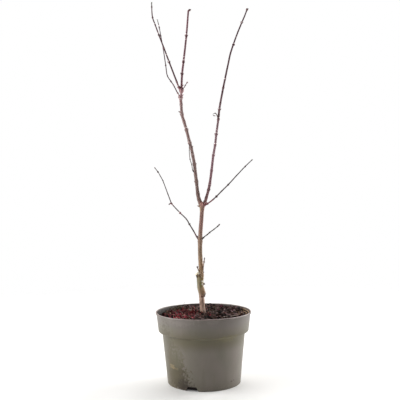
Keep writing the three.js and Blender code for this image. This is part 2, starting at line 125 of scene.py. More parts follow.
# Studio. Lights in metres: name, place, width and height, watts
FLOOR_COLOUR = (0.86, 0.85, 0.83, 1)
FLOOR_GLOW = 0.08
FLOOR_FADE = (300, 1500)
FLOOR_RADIUS = 1575
FLOOR_RINGS = 24
FLOOR_SIDES = 96
WHITE = (1, 1, 1, 1)
LIGHT_AIM = (0, 0, 0.3)
LIGHTS = [
    ("left_front", (-1.6, -0.9, 0.8), (1.0, 1.6), 13.8),
    ("left_side", (-1.6, 0, 0.8), (1.0, 1.6), 27),
    ("left_back", (-1.5, 0.8, 0.8), (1.0, 1.6), 7.7),
    ("right_side", (1.6, 0, 0.8), (1.0, 1.6), 14),
    ("right_back", (1.5, 0.8, 0.8), (1.0, 1.6), 33.9),
    ("top_back", (0, 1.2, 1.8), (1.6, 1.2), 27.7),
]

# Limbs. A limb is a row of internodes from foot to tip, each [length, lean to the right in degrees].
# A third number is what the node at its far end adds to the radius, 0 for a mere bend without buds. The
# lean to the back, in degrees, turns evenly from the foot's to the tip's. A branch starts on the middle
# line of the limb that it is on, at a height. A spur is (height, lean, length, radius), and a flare is
# what the foot adds to the radius and how far up.
LIMBS = {
    "trunk": dict(
        foot=(-0.6, 0, SOIL_TOP - 4),
        internodes=[
            (30, -4.4, 0.6), (21, -3.1, 0.9), (28, 1, 0.8), (50, -1.9, 0), (18, 1.3, 0.8), (18, 2.6, 0),
            (30, 5, 0), (16, 4, 0.4), (6.5, 3, 1.7),
        ],
        lean_back=(0.5, -0.5), foot_radius=4.9, tip_radius=3.95, buds=False, flare=(0.8, 22),
        spurs=[
            (190, 160.5, 20.5, 3.8), (170.5, 97, 7.8, 2.1), (190.5, 62, 8.8, 1.9),
            (346, -68, 10.2, 1.3), (346, 12, 8.5, 1.9),
        ],
    ),
    "left_bough": dict(
        on="trunk", height=348,
        internodes=[
            (15.5, -23.5, 0.5), (11, -10.5), (24, -6), (16, -6.5, 0.3), (19, -5.5), (20, -10, 0.5),
            (14, -11), (10.5, -15.5, 0.9), (25, -13.5, 0.6), (18, -15.5), (14.5, -15.5, 0.9), (20, -3.5),
            (13, -3.5, 2.1), (6, 9.5, -0.9), (7, 4, 1.9), (3.5, 0.5, 0.3),
        ],
        lean_back=(-5, -2), foot_radius=3.5, tip_radius=2.7, end_bud=False,
        spurs=[(533, -62, 7.5, 1.1), (565, 52, 7.2, 0.9)],
    ),
    "right_bough": dict(
        on="trunk", height=346,
        internodes=[
            (11.5, 29.5), (9.5, 18), (17, 16), (11, 13, 0.6), (28, 8.5, 0.5), (31.5, 7.5, 0.6),
            (21, 10.5, 0.5), (21.5, 7, 0.6), (31, 8.5, 0.7), (20.5, 6.5, 0.5), (45, 11, 0.5), (18, 12, 0.4),
            (31.5, 12.5, 0), (22, 13, 0), (19.5, 18.5, 0.7), (25, 20.5, 0), (24, 23, 0.4), (16, 23.5, 0),
            (13.5, 21, 0.8),
        ],
        lean_back=(5, 2), foot_radius=2.9, tip_radius=1.35, bud_turn=103,
    ),
    "upright_shoot": dict(
        on="left_bough", height=576.5,
        internodes=[
            (34.5, 3, 0.5), (24.5, 7, 0.7), (53, 6.8, 0.6), (46, 5.2, 0), (3.8, 6, 0), (4, 62),
        ],
        lean_back=(6, 1), foot_radius=2.25, tip_radius=1.75, spurs=[(586, 58, 4.8, 0.9)],
    ),
    "long_shoot": dict(
        on="left_bough", height=576.5,
        internodes=[
            (9, -34.5), (11.5, -20), (41, -20.5), (28, -20), (27, -20.5), (21, -19.5), (15, -19),
            (20, -3.5, 0.4), (9.5, -1),
        ],
        lean_back=(-7, -3), foot_radius=1.75, tip_radius=1.05,
    ),
    "crossing_shoot": dict(
        on="left_bough", height=563.5,
        internodes=[
            (11.5, -32.5), (18.5, -26.5), (10, -32.5), (12.5, -32), (23.5, -9), (34.5, -8), (27.5, -10),
            (17, -10, 0.6), (17, -13),
        ],
        lean_back=(12, 4), foot_radius=1.1, tip_radius=0.8,
    ),
    "whorl_twig": dict(
        on="left_bough", height=576.5,
        internodes=[(5, 39), (4.5, 43.5), (4.5, 31), (4.5, 34.5), (3, 44.5, 0.35)],
        lean_back=(-20, -10), foot_radius=0.85, tip_radius=0.65,
    ),
    "bough_twig": dict(
        on="left_bough", height=411, internodes=[(11, -31), (11, -10), (12.5, -15.5), (16, -4), (13, 2)],
        lean_back=(-14, -6), foot_radius=0.8, tip_radius=0.6,
    ),
    "right_branch": dict(
        on="trunk", height=347,
        internodes=[
            (13, 59), (14, 53.5), (9.5, 48, 0.4), (14.5, 45), (19, 46), (24.5, 43), (24.5, 44, 0.35),
            (19.5, 47),
        ],
        lean_back=(-14, -8), foot_radius=1.5, tip_radius=0.9,
    ),
    "left_branch": dict(
        on="trunk", height=277,
        internodes=[
            (12.5, -32.5), (14.5, -28.5), (15.5, -31), (11.5, -30.5), (18.5, -44.5, 0.5), (25.5, -42, 0.8),
            (5, -24.5, 0), (16.5, -20.5), (29.5, -20.5), (10.5, -27.5), (10.5, -30, 0.4), (11, -37.5, 0.3),
        ],
        lean_back=(12, 6), foot_radius=1.4, tip_radius=0.75, spurs=[(356, -125, 6.5, 1.1)],
    ),
    "right_twig": dict(
        on="trunk", height=277,
        internodes=[(12, 37), (10, 51.5), (6.5, 48.5), (10.5, 54), (10, 51), (5.5, 44, 0.4)],
        lean_back=(-15, -10), foot_radius=1.2, tip_radius=0.9,
    ),
    "graft_twig_left": dict(
        on="trunk", height=213, internodes=[(6, -38), (5.5, -25), (8.5, -18.5, 0.4)],
        lean_back=(-34, -15), foot_radius=1.1, tip_radius=0.9,
    ),
    "graft_twig_right": dict(
        on="trunk", height=213, internodes=[(6, 33), (11.5, 6.5), (9.5, 9.5), (8, 8)],
        lean_back=(-12, -8), foot_radius=1.25, tip_radius=0.95,
    ),
    "curled_stalk": dict(
        on="right_bough", height=522,
        internodes=[
            (6.5, -13), (7.8, -29), (1.5, -75, 0.25), (2, -105, -0.1), (2.6, -125, -0.2), (2.2, -175, -0.2),
            (2, -225, 0.3), (2.8, -265, 0.5),
        ],
        lean_back=(-16, -16), foot_radius=1.15, tip_radius=0.35, buds=False,
    ),
}
STUB = dict(
    height=168, internodes=[(20, -10), (25.2, -7), (2.5, -34, 0)], lean_back=(-3, -3),
    foot_radius=4.8, tip_radius=4, buds=False, flat_tip=True,
)
STEM = ("trunk", "left_bough", "right_bough")
LINE_STEPS = 40
TANGENT_STEP = 0.5

# Nodes and buds
NODE_SWELLING = 0.16
NODE_REACH = 1.1
NODE_REACH_LEAST = 1.4
SCAR_RIDGE = 0.13
SCAR_REACH = 0.42
# The rings that a leaf stalk leaves: (place from the node, share of the ridge). They are higher on
# stout limbs: a share for all, and one for each millimetre of radius.
SCAR_RINGS = ((0, 1), (-1.5, 0.45))
SCAR_GROWTH = (0.6, 0.25)
COLLAR = 0.45
COLLAR_REACH = 1.6
BUD_LENGTH = 2.9
BUD_DROP = 1.8
BUD_RADIUS = 0.95
BUD_LEAN = 32
BUD_TURN = 90
BUD_JITTER = 14
BUD_LIMB_RADIUS = 1.6
BUD_STOUT = (0.62, 1.15)
BUD_SIZE = (0.75, 0.35)
BUD_SHARE = 0.9
BUD_SEED = 1907
BUD_SIDES = 10
# A bud's core and its two scales, as shares of its width and length, and how the scales lie
BUD_CORE = [(0, 0), (0.55, 0.02), (0.86, 0.2), (0.8, 0.42), (0.58, 0.66), (0.28, 0.88), (0, 1)]
BUD_SCALE = [(0, -0.02), (0.6, 0), (1, 0.16), (1.04, 0.34), (0.86, 0.54), (0.5, 0.7), (0, 0.74)]
SCALE_FLAT = 0.72
SCALE_OUT = 0.3
END_BUD_SEAT = 3.0
END_BUD_REACH = 0.95
END_BUD_WIDTH = 1.12
# How a limb narrows inside its end bud: millimetres before its tip, and shares of its radius there
BUD_SOCKET = ((-2.8, -1.8, -0.8, 1), (1, 0.8, 0.42, 0.06))
# A spur's profile, as shares of its radius and length
SPUR = [(0, 0), (1.25, 0), (1.12, 0.35), (1.02, 0.6), (1.05, 0.84), (0.86, 0.95), (0.4, 1), (0, 0.985)]
SPUR_SIDES = 16
# The wax on the old stub's cut, as shares of its radius and millimetres along it
WAX_CAP = [(0, -1.4), (1, -1.4), (1.08, 0), (0.95, 1.2), (0.66, 1.9), (0.3, 2.1), (0, 2.15)]
WAX_SIDES = 30
# The ends of a limb: how far past its last point and how thick, as shares of its radius
FLAT_END = [(0, 0.995)]
ROUND_END = [(0.35, 0.85), (0.65, 0.5)]
TIP_DOME = 0.15
TIE_HEIGHTS = (209.8, 214.3, 219.5)
TIE_SLANT = 1.1
# A tie's profile: what it adds to the trunk's radius, and its height
TIE = [(0.2, -0.6), (0.6, 0), (0.2, 0.6)]
TIE_HALF = 0.7
TIE_SIDES = 28
BAND_SIDES = 18
# A band's profile: places as shares of its width, and how far its edges lie in or out of the bark
BAND_PLACES = (-0.5, -0.5, -0.25, 0.25, 0.5, 0.5)
BAND_SINK = -0.3
BAND_LIP = 0.02
BAND_PROUD = 0.05
BAND_WAVE = 0.2
# Pale waxy rings over some of the nodes, and dark scars under or at them: (height, width)
RINGS = {
    "left_bough": [(389, 0.6), (451.5, 1.4), (476.5, 1.0), (504, 1.5), (531.5, 0.8), (561, 1.6)],
    "right_bough": [
        (391.5, 0.6), (453, 1.2), (474, 2), (495.5, 1.2), (501, 0.6), (526.5, 1.6), (544.5, 1.9),
        (605.5, 2.6), (678, 1.3), (690.5, 0.6), (720.8, 2.8),
    ],
    "upright_shoot": [(613.5, 1.1), (639, 1.6), (645.5, 0.8), (664, 0.6), (680, 0.8), (690.3, 2.2)],
    "long_shoot": [(586.8, 1.6), (633.4, 2.8), (646.3, 0.8), (688, 2.2), (706.5, 1.4)],
    "crossing_shoot": [(570.3, 1.6), (658, 0.6), (712.5, 2.2)],
    "left_branch": [(337, 1.2), (351.5, 1)],
}
SCARS = {
    "right_bough": [(532.5, 3.6), (556, 2.6), (579, 1.6), (744, 2.6)],
    "upright_shoot": [(609.5, 1.4), (633.5, 1.8), (686, 1.8)],
    "long_shoot": [(630.2, 2.2), (683, 2.6), (703, 2), (718, 1.8), (738, 2.6)],
    "crossing_shoot": [(630, 1.5), (665, 2.6), (708, 3.2)],
    "right_branch": [(368, 2.6), (425, 2.6)],
    "left_branch": [(304, 2.6), (419.5, 2.4)],
}
# Limbs with a pale end bud
PALE_ENDS = ("long_shoot", "crossing_shoot")
# Where the buds by those ends are pale too: (centre, reach)
PALE_TIPS = [((-95, -14, 748), (8, 30, 7)), ((-87, 12, 726), (8, 30, 8))]
# Colours of the buds by the kind of limb: dark, light
BUD_TONES = {
    "bough": (0x604242, 0x967474),
    "shoot": (0x5C3C40, 0x886264),
    "pale": (0xB4B6AE, 0xD0D2CA),
    "twig": (0x4E3C3C, 0x7A6462),
}
TWIG_STEP = 0.7
TWIG_SIDES = 14
STEM_STEP = 0.8
STEM_SIDES = 26
STEM_VOXEL = 0.42
STUB_SEED = 5
# How far the sides of the stem, the stub and the twigs are uneven, and the size of that
RAGGED = {"stem": 0.04, "stub": 0.08, "twig": 0.06}
RAGGED_WAVES = (1.3, 0.11)
# The ribs of the trunk's foot come in between these heights
FOOT_RIBS = (184, 160)
# The bark's relief: its height, and the size of its noise across and along, with the noise's start
STREAKS = (0.05, 1.5, 9, 0)
GRAIN = (0.02, 0.7, 1.6, 40)
PORES = (0.03, 1.1, 0.8, 90)
RIBS = (0.16, 1.4, 14, 60)

# The bark's tones up the plant: (height, colour)
TREE_TOP = 760
TRUNK_TONES = [
    (140, 0xC2A494), (166, 0xC0A290), (180, 0xB69678), (198, 0xA89468),
    (212, 0x8E7054), (226, 0xAA8A6C), (256, 0x8C7662), (284, 0x987E6E),
    (312, 0x927068), (345, 0x8E7066), (374, 0x7C6762), (402, 0x846E68),
    (440, 0x947B77), (470, 0x98807C), (500, 0x9A7F7B), (552, 0x9A807E),
    (568, 0xB08A8C),
]
RIGHT_TONES = [
    (352, 0x96706C), (366, 0x846364), (400, 0x906D73), (440, 0x98757D),
    (488, 0x94787E), (512, 0x92767C), (530, 0x745254), (548, 0x7A5C61),
    (600, 0x6A4F55), (660, 0x62464C), (735, 0x563A42),
]
# Where the right bough's tones take over: heights, and places to the right
FORK = ((351, 361), (1.5, 4.5))
# The redder buds of the whorl lie between these heights, each with a soft end
WHORL = ((556, 562), (604, 598))
WAX = 0xFCF8E8
WOUND = 0x60221E
# Marks: (centre, reach, colour, strength)
STEM_MARKS = [
    ((-9.5, -3, 194), (6, 12, 22), 0xA69A82, 0.75),
    ((-1.4, -5, 168.4), (4.4, 4, 1.5), WOUND, 0.95),
    ((0.2, -5, 178.6), (4.4, 5, 7), 0xBE9C7C, 0.7),
    ((-4.8, -4, 192), (1.9, 4, 7), 0x787A3A, 0.85),
    ((-11.4, -3, 196), (1.8, 7, 14), 0x707058, 0.75),
    ((-8, -4, 203), (1.3, 5, 6.5), 0xCEC49C, 0.8),
    ((-1.6, -4.8, 199), (2.9, 5, 2.4), WAX, 1.0),
    ((-1.2, -4.8, 193.4), (2.4, 5, 2.2), WAX, 1.0),
    ((1.4, -4.8, 189.4), (2, 5, 1.8), WAX, 0.9),
    ((-1.6, -4.8, 189.2), (1.5, 4, 1.2), 0x342A18, 0.9),
    ((3.8, -3, 172), (2, 8, 5), 0xCCC6C2, 0.8),
    ((-8, -5, 215.4), (3, 6, 2.4), 0xF6F0DE, 0.9),
    # Painted shade in the notch below the stub's cut.
    ((-12.2, -5, 209), (2.8, 8, 3.6), 0x40362A, 0.95),
    ((3.6, -3, 194.4), (3, 8, 3.4), 0xB0A8B0, 0.95),
    ((-14, -2, 398), (3, 6, 1.1), 0x3A2A26, 0.8),
    ((-14.3, -2, 394.4), (3, 6, 1.3), 0xD6C8BA, 0.7),
    ((0, -3, 353), (5, 6, 5.5), 0xE8AEA4, 0.85),
    ((6, -2, 352), (4, 6, 6.5), 0xC49294, 0.75),
    # Painted shade in the crotch between the boughs.
    ((-3, -3, 357), (3, 5, 2), 0x744A3E, 0.6),
    ((-8.8, -2, 351.4), (3.4, 5, 2.6), 0xC4BEA8, 0.6),
    ((-4.4, -2, 343), (2, 5, 7), 0xAC9A6C, 0.5),
    ((-40, -14, 556), (4, 6, 1.6), 0x784242, 0.6),
]
POT_MARKS = [
    # Painted shade down the pot's left side, together with an olive stain.
    ((-72, -32, 70), (20, 46, 72), 0x524D3C, 0.75),
    ((-54, -50, 48), (22, 28, 18), 0x544D37, 0.6),
    ((-52, -54, 26), (28, 28, 28), 0x423A26, 0.9),
    ((-42, -58, 10), (24, 26, 13), 0x32281C, 0.92),
    ((-60, -46, 38), (20, 28, 46), 0x504832, 0.7),
    # Painted highlight on the upper left of the band.
    ((-42, -84, 136), (34, 40, 11), 0x8C847F, 0.3),
    ((-50, -56, 62), (14, 22, 24), 0x5C5846, 0.65),
    ((44, -68, 100), (30, 30, 7), 0x70684A, 0.55),
    ((10, -80, 96), (34, 20, 5), 0x5C5844, 0.4),
    ((22, -74, 12), (3.2, 6, 0.8), 0x423A2E, 0.8),
    ((52, -52, 14), (2.0, 5, 1.4), 0x40362A, 0.8),
    ((56, -47, 15), (1.2, 4, 1.0), 0x40362A, 0.8),
    ((-30, -69, 21), (2.2, 5, 1.4), 0x3C3224, 0.8),
    ((-59, -47, 40.5), (10, 13, 3), 0x86734E, 0.6),
    ((-61, -44, 44.5), (7, 11, 1.8), 0x8C7A56, 0.5),
]
# Tones of the thin limbs, and their marks
THIN_BARK = {
    "upright_shoot": (0x8C646C, [((-41, -14, 582), (10, 12, 14), 0x9C6E72, 0.85)]),
    "long_shoot": (0x64464C, [
        ((-43, -14, 582), (12, 12, 14), 0x9C6E72, 0.85),
        ((-96, -14, 752), (10, 40, 17), 0x969892, 0.95),
    ]),
    "crossing_shoot": (0x52383E, [
        ((-40, -14, 570), (10, 12, 10), 0x96686C, 0.8),
        ((-92, 10, 732), (14, 30, 22), 0x8C908A, 0.9),
    ]),
    "whorl_twig": (0x7A6466, [((-29, -4, 593), (5, 9, 4), 0x483C3C, 0.9)]),
    "bough_twig": (0x64544E, []),
    "right_branch": (0x5A4E50, [
        ((12, -4, 356), (17, 14, 12), 0x966064, 0.85),
        ((76, -16, 416), (14, 14, 12), 0x463E42, 0.8),
    ]),
    "left_branch": (0x544A4A, [
        ((-9, 2, 287), (12, 12, 15), 0x704646, 0.8),
        ((-43.2, 6, 335.6), (4, 20, 3.4), 0xA86874, 0.85),
        ((-60.5, 8, 353.6), (7, 24, 5), 0x7A2632, 1.0),
    ]),
    "right_twig": (0x524C46, [((36, -12, 311), (6, 8, 6), 0x3C3432, 0.7)]),
    "graft_twig_left": (0x8C7460, [
        ((-9, -9, 231), (4, 6, 4), 0x342A28, 0.9),
        ((-5, -8, 217), (5, 8, 7), 0xBEA082, 0.8),
    ]),
    "graft_twig_right": (0x9E8476, [((5, -6, 246), (5, 6, 5), 0x423234, 0.85)]),
    "curled_stalk": (0x68524E, [((23, -5, 529), (4, 6, 3), 0x82827E, 0.9)]),
}
# Bark chips: name, shapes, count, smallest, largest, lowest, highest, dark, light
CHIPS = [
    ("dark_chips", "chips", 1000, 3.0, 9.0, -1.4, 1.2, 0x0D0807, 0x2A1B16),
    ("brown_chips", "chips", 430, 3.0, 8.5, -0.6, 2.2, 0x22120E, 0x58392D),
    # Pale purple-grey chips laid highest: partly dust on the chips, partly painted highlight.
    ("purple_chips", "chips", 170, 3.0, 8.0, 0.6, 2.6, 0x4A3635, 0x866D6A),
    ("bark_slivers", "slivers", 110, 3.2, 5.6, 0.4, 2.6, 0x2E1E19, 0x745A50),
]
# Litter: name, shapes, [count, middle, spread, smallest, largest, lowest, highest], dark, light
LITTER = [
    ("red_shreds", "shreds", [
        (170, (-50, -20), (19, 26), 4.0, 9.0, 1.4, 4.0),
        (40, (-18, -30), (14, 18), 3.0, 7.0, 1.2, 3.0),
        (26, (20, 5), (40, 45), 3.0, 6.0, 1.2, 2.6),
    ], 0x480910, 0x9C2A36),
    ("dark_red_leaves", "leaves", [
        (30, (-50, -18), (18, 26), 8.0, 14.0, 1.6, 4.0),
        (7, (0, 30), (40, 34), 6.0, 10.0, 1.2, 2.6),
    ], 0x30070D, 0x761E28),
    ("rusty_bits", "chips", [
        (120, (-22, -22), (13, 24), 2.0, 5.5, 0.8, 3.0),
        (40, (-60, -8), (16, 26), 2.0, 5.0, 0.8, 3.0),
    ], 0x3A140D, 0x803E30),
    ("moss_lumps", "chips", [
        (90, (-60, 40), (12, 20), 2.4, 6.0, 0.6, 3.6),
        (34, (20, 5), (5, 24), 2.6, 5.5, 0.8, 2.8),
        (26, (74, 4), (8, 14), 2.6, 5.5, 0.8, 2.8),
    ], 0x261B0C, 0x58462A),
]
# Bits that stand out: name, dark, light, shapes, [x, y, size, lift]
STANDOUTS = [
    ("crimson_leaf", 0xAC263C, 0xF07C8A, "leaves", [
        (-47, -43, 15, 3.2), (-52, -24, 12, 3.0), (-42, -53, 12, 2.8), (-56, -42, 11, 2.8),
        (-28, -34, 9, 2.6), (-36, -58, 10, 2.6), (-50, -54, 10, 2.6), (-61, -32, 9, 2.6),
        (-22, -44, 8, 2.4), (13, -38, 8, 2.4), (-45, -66, 11, 2.8), (-34, -70, 10, 2.8),
        (-55, -60, 10, 2.8), (-20, -72, 9, 2.4), (-8, -66, 8, 2.2), (-28, -60, 9, 2.6), (-64, -48, 9, 2.8),
    ]),
    ("cream_bits", 0xC49880, 0xF4DAC4, "shreds", [
        (-40, -46, 6, 3.8), (-37, -42, 5, 3.4), (-44, -57, 6, 3.6), (-67, 2, 6, 3.2), (-59, 27, 6, 3.4),
        (-42, -29, 6, 3.2), (-26, 8, 5, 2.8), (-50, -46, 5, 3.6), (-57, -48, 6, 3.6), (-33, -52, 5, 3.2),
        (-46, -62, 6, 3.4), (-61, -40, 5, 3.2), (-38, -68, 6, 3.6), (-50, -66, 5, 3.6), (-27, -72, 5, 3.2),
        (-42, -72, 5, 3.4),
    ]),
    ("rosy_chunks", 0x6C5052, 0xAC8C8C, "chips", [
        (-12, 20, 6, 2.0), (-29, 70, 7, 0.8), (-22, 60, 5, 1.2), (67, 44, 7, 1.6), (57, -10, 6, 2.0),
        (62, 4, 6, 2.0), (46, -28, 6, 2.0), (26, 30, 5, 2.0), (10, 62, 6, 0.8), (44, 20, 6, 2.0),
        (50, -46, 6, 2.2), (28, -52, 6, 2.0), (54, 56, 5, 1.2), (64, -34, 6, 2.2),
    ]),
    ("rosy_leaf", 0x964846, 0xCE847C, "leaves", [
        (-18, 27, 11, 3.4), (-26, 18, 9, 2.8), (-13, 16, 8, 2.6), (-30, 10, 8, 2.6), (-22, 60, 7, 1.4),
    ]),
    ("grey_green_bits", 0x48483C, 0x848672, "chips", [
        (-28, 19, 7, 2.0), (-66, 34, 5, 2.4), (-38, 34, 5, 2.0), (-74, 16, 5, 2.2), (-24, 12, 5, 2.0),
    ]),
    ("magenta_leaf", 0x54122E, 0x8E3654, "leaves", [
        (38, 58, 12, 4.0), (37, 50, 9, 3.4), (36, 34, 8, 2.4), (-26, 62, 8, 1.4), (30, 20, 6, 2.2),
        (22, 62, 6, 1.4),
    ]),
]
# Straw, a pale root and one strand, each from point to point
STRAWS = [
    ((78, 28, 138.6), (82, 18, 139.6), (86, 2, 140), (89, -18, 140), (87, -28, 139.6)),
    ((74, 8, 138.6), (80, -6, 139.2), (84, -22, 139.4), (82, -34, 138.8)),
    ((66, -8, 138), (74, -16, 139), (80, -30, 139.4)),
    ((60, -30, 138), (68, -34, 139), (74, -40, 139)),
]
PALE_ROOT = ((38, -56, 137.6), (45, -55, 138.6), (52, -52, 138.2), (62, -46, 138.6), (68, -40, 137.8))
STRAND = ((-42, 78, 135), (-41, 80.5, 139.5), (-40.5, 80, 143), (-38.6, 79.4, 144.6))


# Meshes. A shape is an array of points in millimetres and a list of faces.

def placed(name, data):
    """An object in the scene for a mesh, light or camera."""
    made = bpy.data.objects.new(name, data)
    bpy.context.scene.collection.objects.link(made)
    return made


def new_mesh(name, points, faces):
    mesh = bpy.data.meshes.new(name)
    mesh.from_pydata((points * MM).tolist(), [], faces)
    return mesh


def add_piece(name, shape, *materials, slot, soft=True, marks=None):
    """A new mesh object that rides on the one body, shaded soft or in facets."""
    mesh = new_mesh(name, *shape)
    for material in materials:
        mesh.materials.append(material)
    if marks is not None:
        mesh.polygons.foreach_set("material_index", np.asarray(marks, dtype=np.int32))
    mesh.polygons.foreach_set("use_smooth", [soft] * len(mesh.polygons))
    mesh.update()
    piece = placed(name, mesh)
    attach(piece, "root")
    return piece


def bake_modifiers(piece):
    """Puts a piece's modifiers into its mesh."""
    shown = piece.evaluated_get(bpy.context.evaluated_depsgraph_get())
    mesh = bpy.data.meshes.new_from_object(shown)
    piece.modifiers.clear()
    piece.data = mesh


def face_outwards(mesh, crease=None):
    """Turns all faces outwards, and keeps edges sharp that turn by more than the crease, in degrees."""
    shape = bmesh.new()
    shape.from_mesh(mesh)
    bmesh.ops.recalc_face_normals(shape, faces=shape.faces)
    for edge in shape.edges if crease else ():
        if len(edge.link_faces) == 2:
            edge.smooth = edge.calc_face_angle(0) < math.radians(crease)
    shape.to_mesh(mesh)
    shape.free()


def joined(shapes):
    """Several shapes as one."""
    faces = []
    start = 0
    for points, corners in shapes:
        faces += [tuple(start + i for i in face) for face in corners]
        start += len(points)
    return np.concatenate([points for points, _ in shapes]), faces


def circle(sides):
    return np.arange(sides) * (2 * math.pi / sides)


def skin(rings, foot=None, tip=None, flip=False, loop=False):
    """A surface through rings of points, with a fan to its foot and tip, or closed in a loop."""
    rows, sides = np.shape(rings)[:2]
    start = 0 if foot is None else 1
    pairs = [(k, (k + 1) % sides) for k in range(sides)]
    faces = [(0, 1 + j, 1 + k) for k, j in pairs] if start else []
    for row in range(rows if loop else rows - 1):
        low = start + row * sides
        high = start + (row + 1) % rows * sides
        faces += [(low + k, low + j, high + j, high + k) for k, j in pairs]
    if tip is not None:
        last = start + (rows - 1) * sides
        faces += [(last + k, last + j, last + sides) for k, j in pairs]
    if flip:
        faces = [(face[0], *face[:0:-1]) for face in faces]
    ends = [[] if end is None else [end] for end in (foot, tip)]
    return np.array([*ends[0], *np.reshape(rings, (-1, 3)), *ends[1]], float), faces


def ring_points(middle, right, front, turn, reach):
    """Rings round the points of a line, with a reach for each row or for each point."""
    return (
        middle[:, None]
        + right[:, None] * (np.cos(turn) * reach)[..., None]
        + front[:, None] * (np.sin(turn) * reach)[..., None]
    )


def turned(profile, sides):
    """A closed surface of revolution about Z, from (radius, height) pairs that start and end on the axis."""
    turn = circle(sides)
    rings = [
        np.stack([radius * np.sin(turn), -radius * np.cos(turn), np.full(sides, height)], 1)
        for radius, height in profile[1:-1]
    ]
    return skin(rings, (0, 0, profile[0][1]), (0, 0, profile[-1][1]))


def arc(centre, radius, start, end, steps):
    """Points on an arc in the (radius, height) plane, angles in degrees."""
    angles = np.radians(np.linspace(start, end, steps))
    return [(centre[0] + radius * math.cos(a), centre[1] + radius * math.sin(a)) for a in angles]


def aimed(vertices, foot, direction, spin=0.0):
    """Places points that stand on +Z at a foot, along a direction."""
    turn = Vector((0, 0, 1)).rotation_difference(Vector(direction)).to_matrix()
    turn = np.array(turn @ Matrix.Rotation(spin, 3, "Z"))
    return np.asarray(vertices) @ turn.T + np.asarray(foot)


def smooth(low, high, value):
    share = np.clip((value - low) / (high - low), 0, 1)
    return share * share * (3 - 2 * share)


# Shader nodes

def linear(colour):
    """A screen colour such as 0xC2A494 as the linear red, green and blue that shaders take."""
    levels = [colour >> bits & 255 for bits in (16, 8, 0)]
    return tuple(v / 255 / 12.92 if v <= 10 else ((v / 255 + 0.055) / 1.055) ** 2.4 for v in levels)


class Wire:
    """A shader node's output, with the sums that the materials make of it."""

    def __init__(self, look, socket):
        self.look = look
        self.socket = socket

    def sum(self, operation, other):
        return self.look.add("Math", {"operation": operation}, {0: self, 1: other})

    def __add__(self, other):
        return self.sum("ADD", other)

    def __sub__(self, other):
        return self.sum("SUBTRACT", other)

    def __mul__(self, other):
        return self.sum("MULTIPLY", other)

    def __truediv__(self, other):
        return self.sum("DIVIDE", other)

    def between(self, low, high, start=0.0, end=1.0):
        """Turns smoothly from start to end while this goes from low to high."""
        inputs = {"Value": self, "From Min": low, "From Max": high, "To Min": start, "To Max": end}
        return self.look.add("MapRange", {"interpolation_type": "SMOOTHSTEP"}, inputs, "Result")

    def ramp(self, *stops):
        """A colour that turns from one (value, colour) to the next."""
        made = self.look.add("ValToRGB", None, {"Fac": self})
        elements = made.socket.node.color_ramp.elements
        while len(elements) < len(stops):
            elements.new(0.5)
        for element, (position, colour) in zip(elements, stops):
            element.position = position
            element.color = (*linear(colour), 1)
        return made


class Look:
    """A procedural material: its nodes, its running colour, and the piece's places in millimetres."""

    def __init__(self, name, roughness, specular):
        self.material = bpy.data.materials.new(name)
        self.material.use_nodes = True
        self.tree = self.material.node_tree
        self.colour = None
        self.set({"Roughness": roughness, "Specular IOR Level": specular})
        self.place = self.scaled(self.add("TexCoord", output="Object"), 1 / MM)
        self.across, self.height = (
            self.add("SeparateXYZ", None, {"Vector": self.place}, axis) for axis in "XZ"
        )

    def add(self, kind, settings=None, inputs=None, output=0):
        """A new shader node, as the wire of one of its outputs."""
        made = self.tree.nodes.new("ShaderNode" + kind)
        for key, value in (settings or {}).items():
            setattr(made, key, value)
        self.feed(made, inputs or {})
        return Wire(self, made.outputs[output])

    def feed(self, made, inputs):
        """Sets a node's sockets, or links wires to them."""
        for key, value in inputs.items():
            if isinstance(value, Wire):
                self.tree.links.new(value.socket, made.inputs[key])
            else:
                made.inputs[key].default_value = value

    def set(self, sockets):
        """Sets or links the shader's own sockets."""
        self.feed(self.tree.nodes["Principled BSDF"], sockets)

    def vector(self, operation, *values, output=0):
        return self.add("VectorMath", {"operation": operation}, dict(enumerate(values)), output)

    def scaled(self, value, factor):
        """A colour or place times a number."""
        return self.add("VectorMath", {"operation": "SCALE"}, {0: value, "Scale": factor})

    def stretched(self, across, along):
        """Places for a pattern of one size across a limb or wall and another up it, in millimetres."""
        return self.vector("MULTIPLY", self.place, (1 / across, 1 / across, 1 / along))

    def noise(self, across, along=None, detail=3.0, roughness=0.55, twist=0.0):
        inputs = {"Vector": self.stretched(across, along or across), "Scale": 1.0}
        inputs |= {"Detail": detail, "Roughness": roughness, "Distortion": twist}
        return self.add("TexNoise", None, inputs, "Fac")

    def spot(self, centre, reach, ragged=0.35, grain=2.0):
        """1 at a named place, falling to 0 at its reach along X, Y and Z, with a ragged edge."""
        shift = self.vector("SUBTRACT", self.place, centre)
        unit_shift = self.vector("MULTIPLY", shift, tuple(1 / r for r in reach))
        distance = self.vector("LENGTH", unit_shift, output="Value")
        return (distance + (self.noise(grain) - 0.5) * (ragged * 4)).between(1.15, 0.55)

    def mix(self, share, one, other):
        """Two colours, mixed by a share of the second."""
        one, other = (c if isinstance(c, Wire) else (*linear(c), 1) for c in (one, other))
        return self.add("Mix", {"data_type": "RGBA"}, {0: share, 6: one, 7: other}, 2)

    def stain(self, share, colour):
        """Lays a colour over the running one."""
        self.colour = self.mix(share, self.colour, colour)

    def shade(self, factor):
        """Makes the running colour lighter or darker."""
        self.colour = self.scaled(self.colour, factor)

    def stain_marks(self, marks, ragged, grain):
        for centre, reach, colour, strength in marks:
            self.stain(self.spot(centre, reach, ragged, grain) * strength, colour)

    def finish(self, relief, depth):
        """Gives the material, with its running colour and a bump of a depth in millimetres."""
        if self.colour:
            self.set({"Base Color": self.colour})
        bump = self.add("Bump", None, {"Height": relief, "Strength": 1.0, "Distance": depth * MM})
        self.set({"Normal": bump})
        return self.material


# Materials

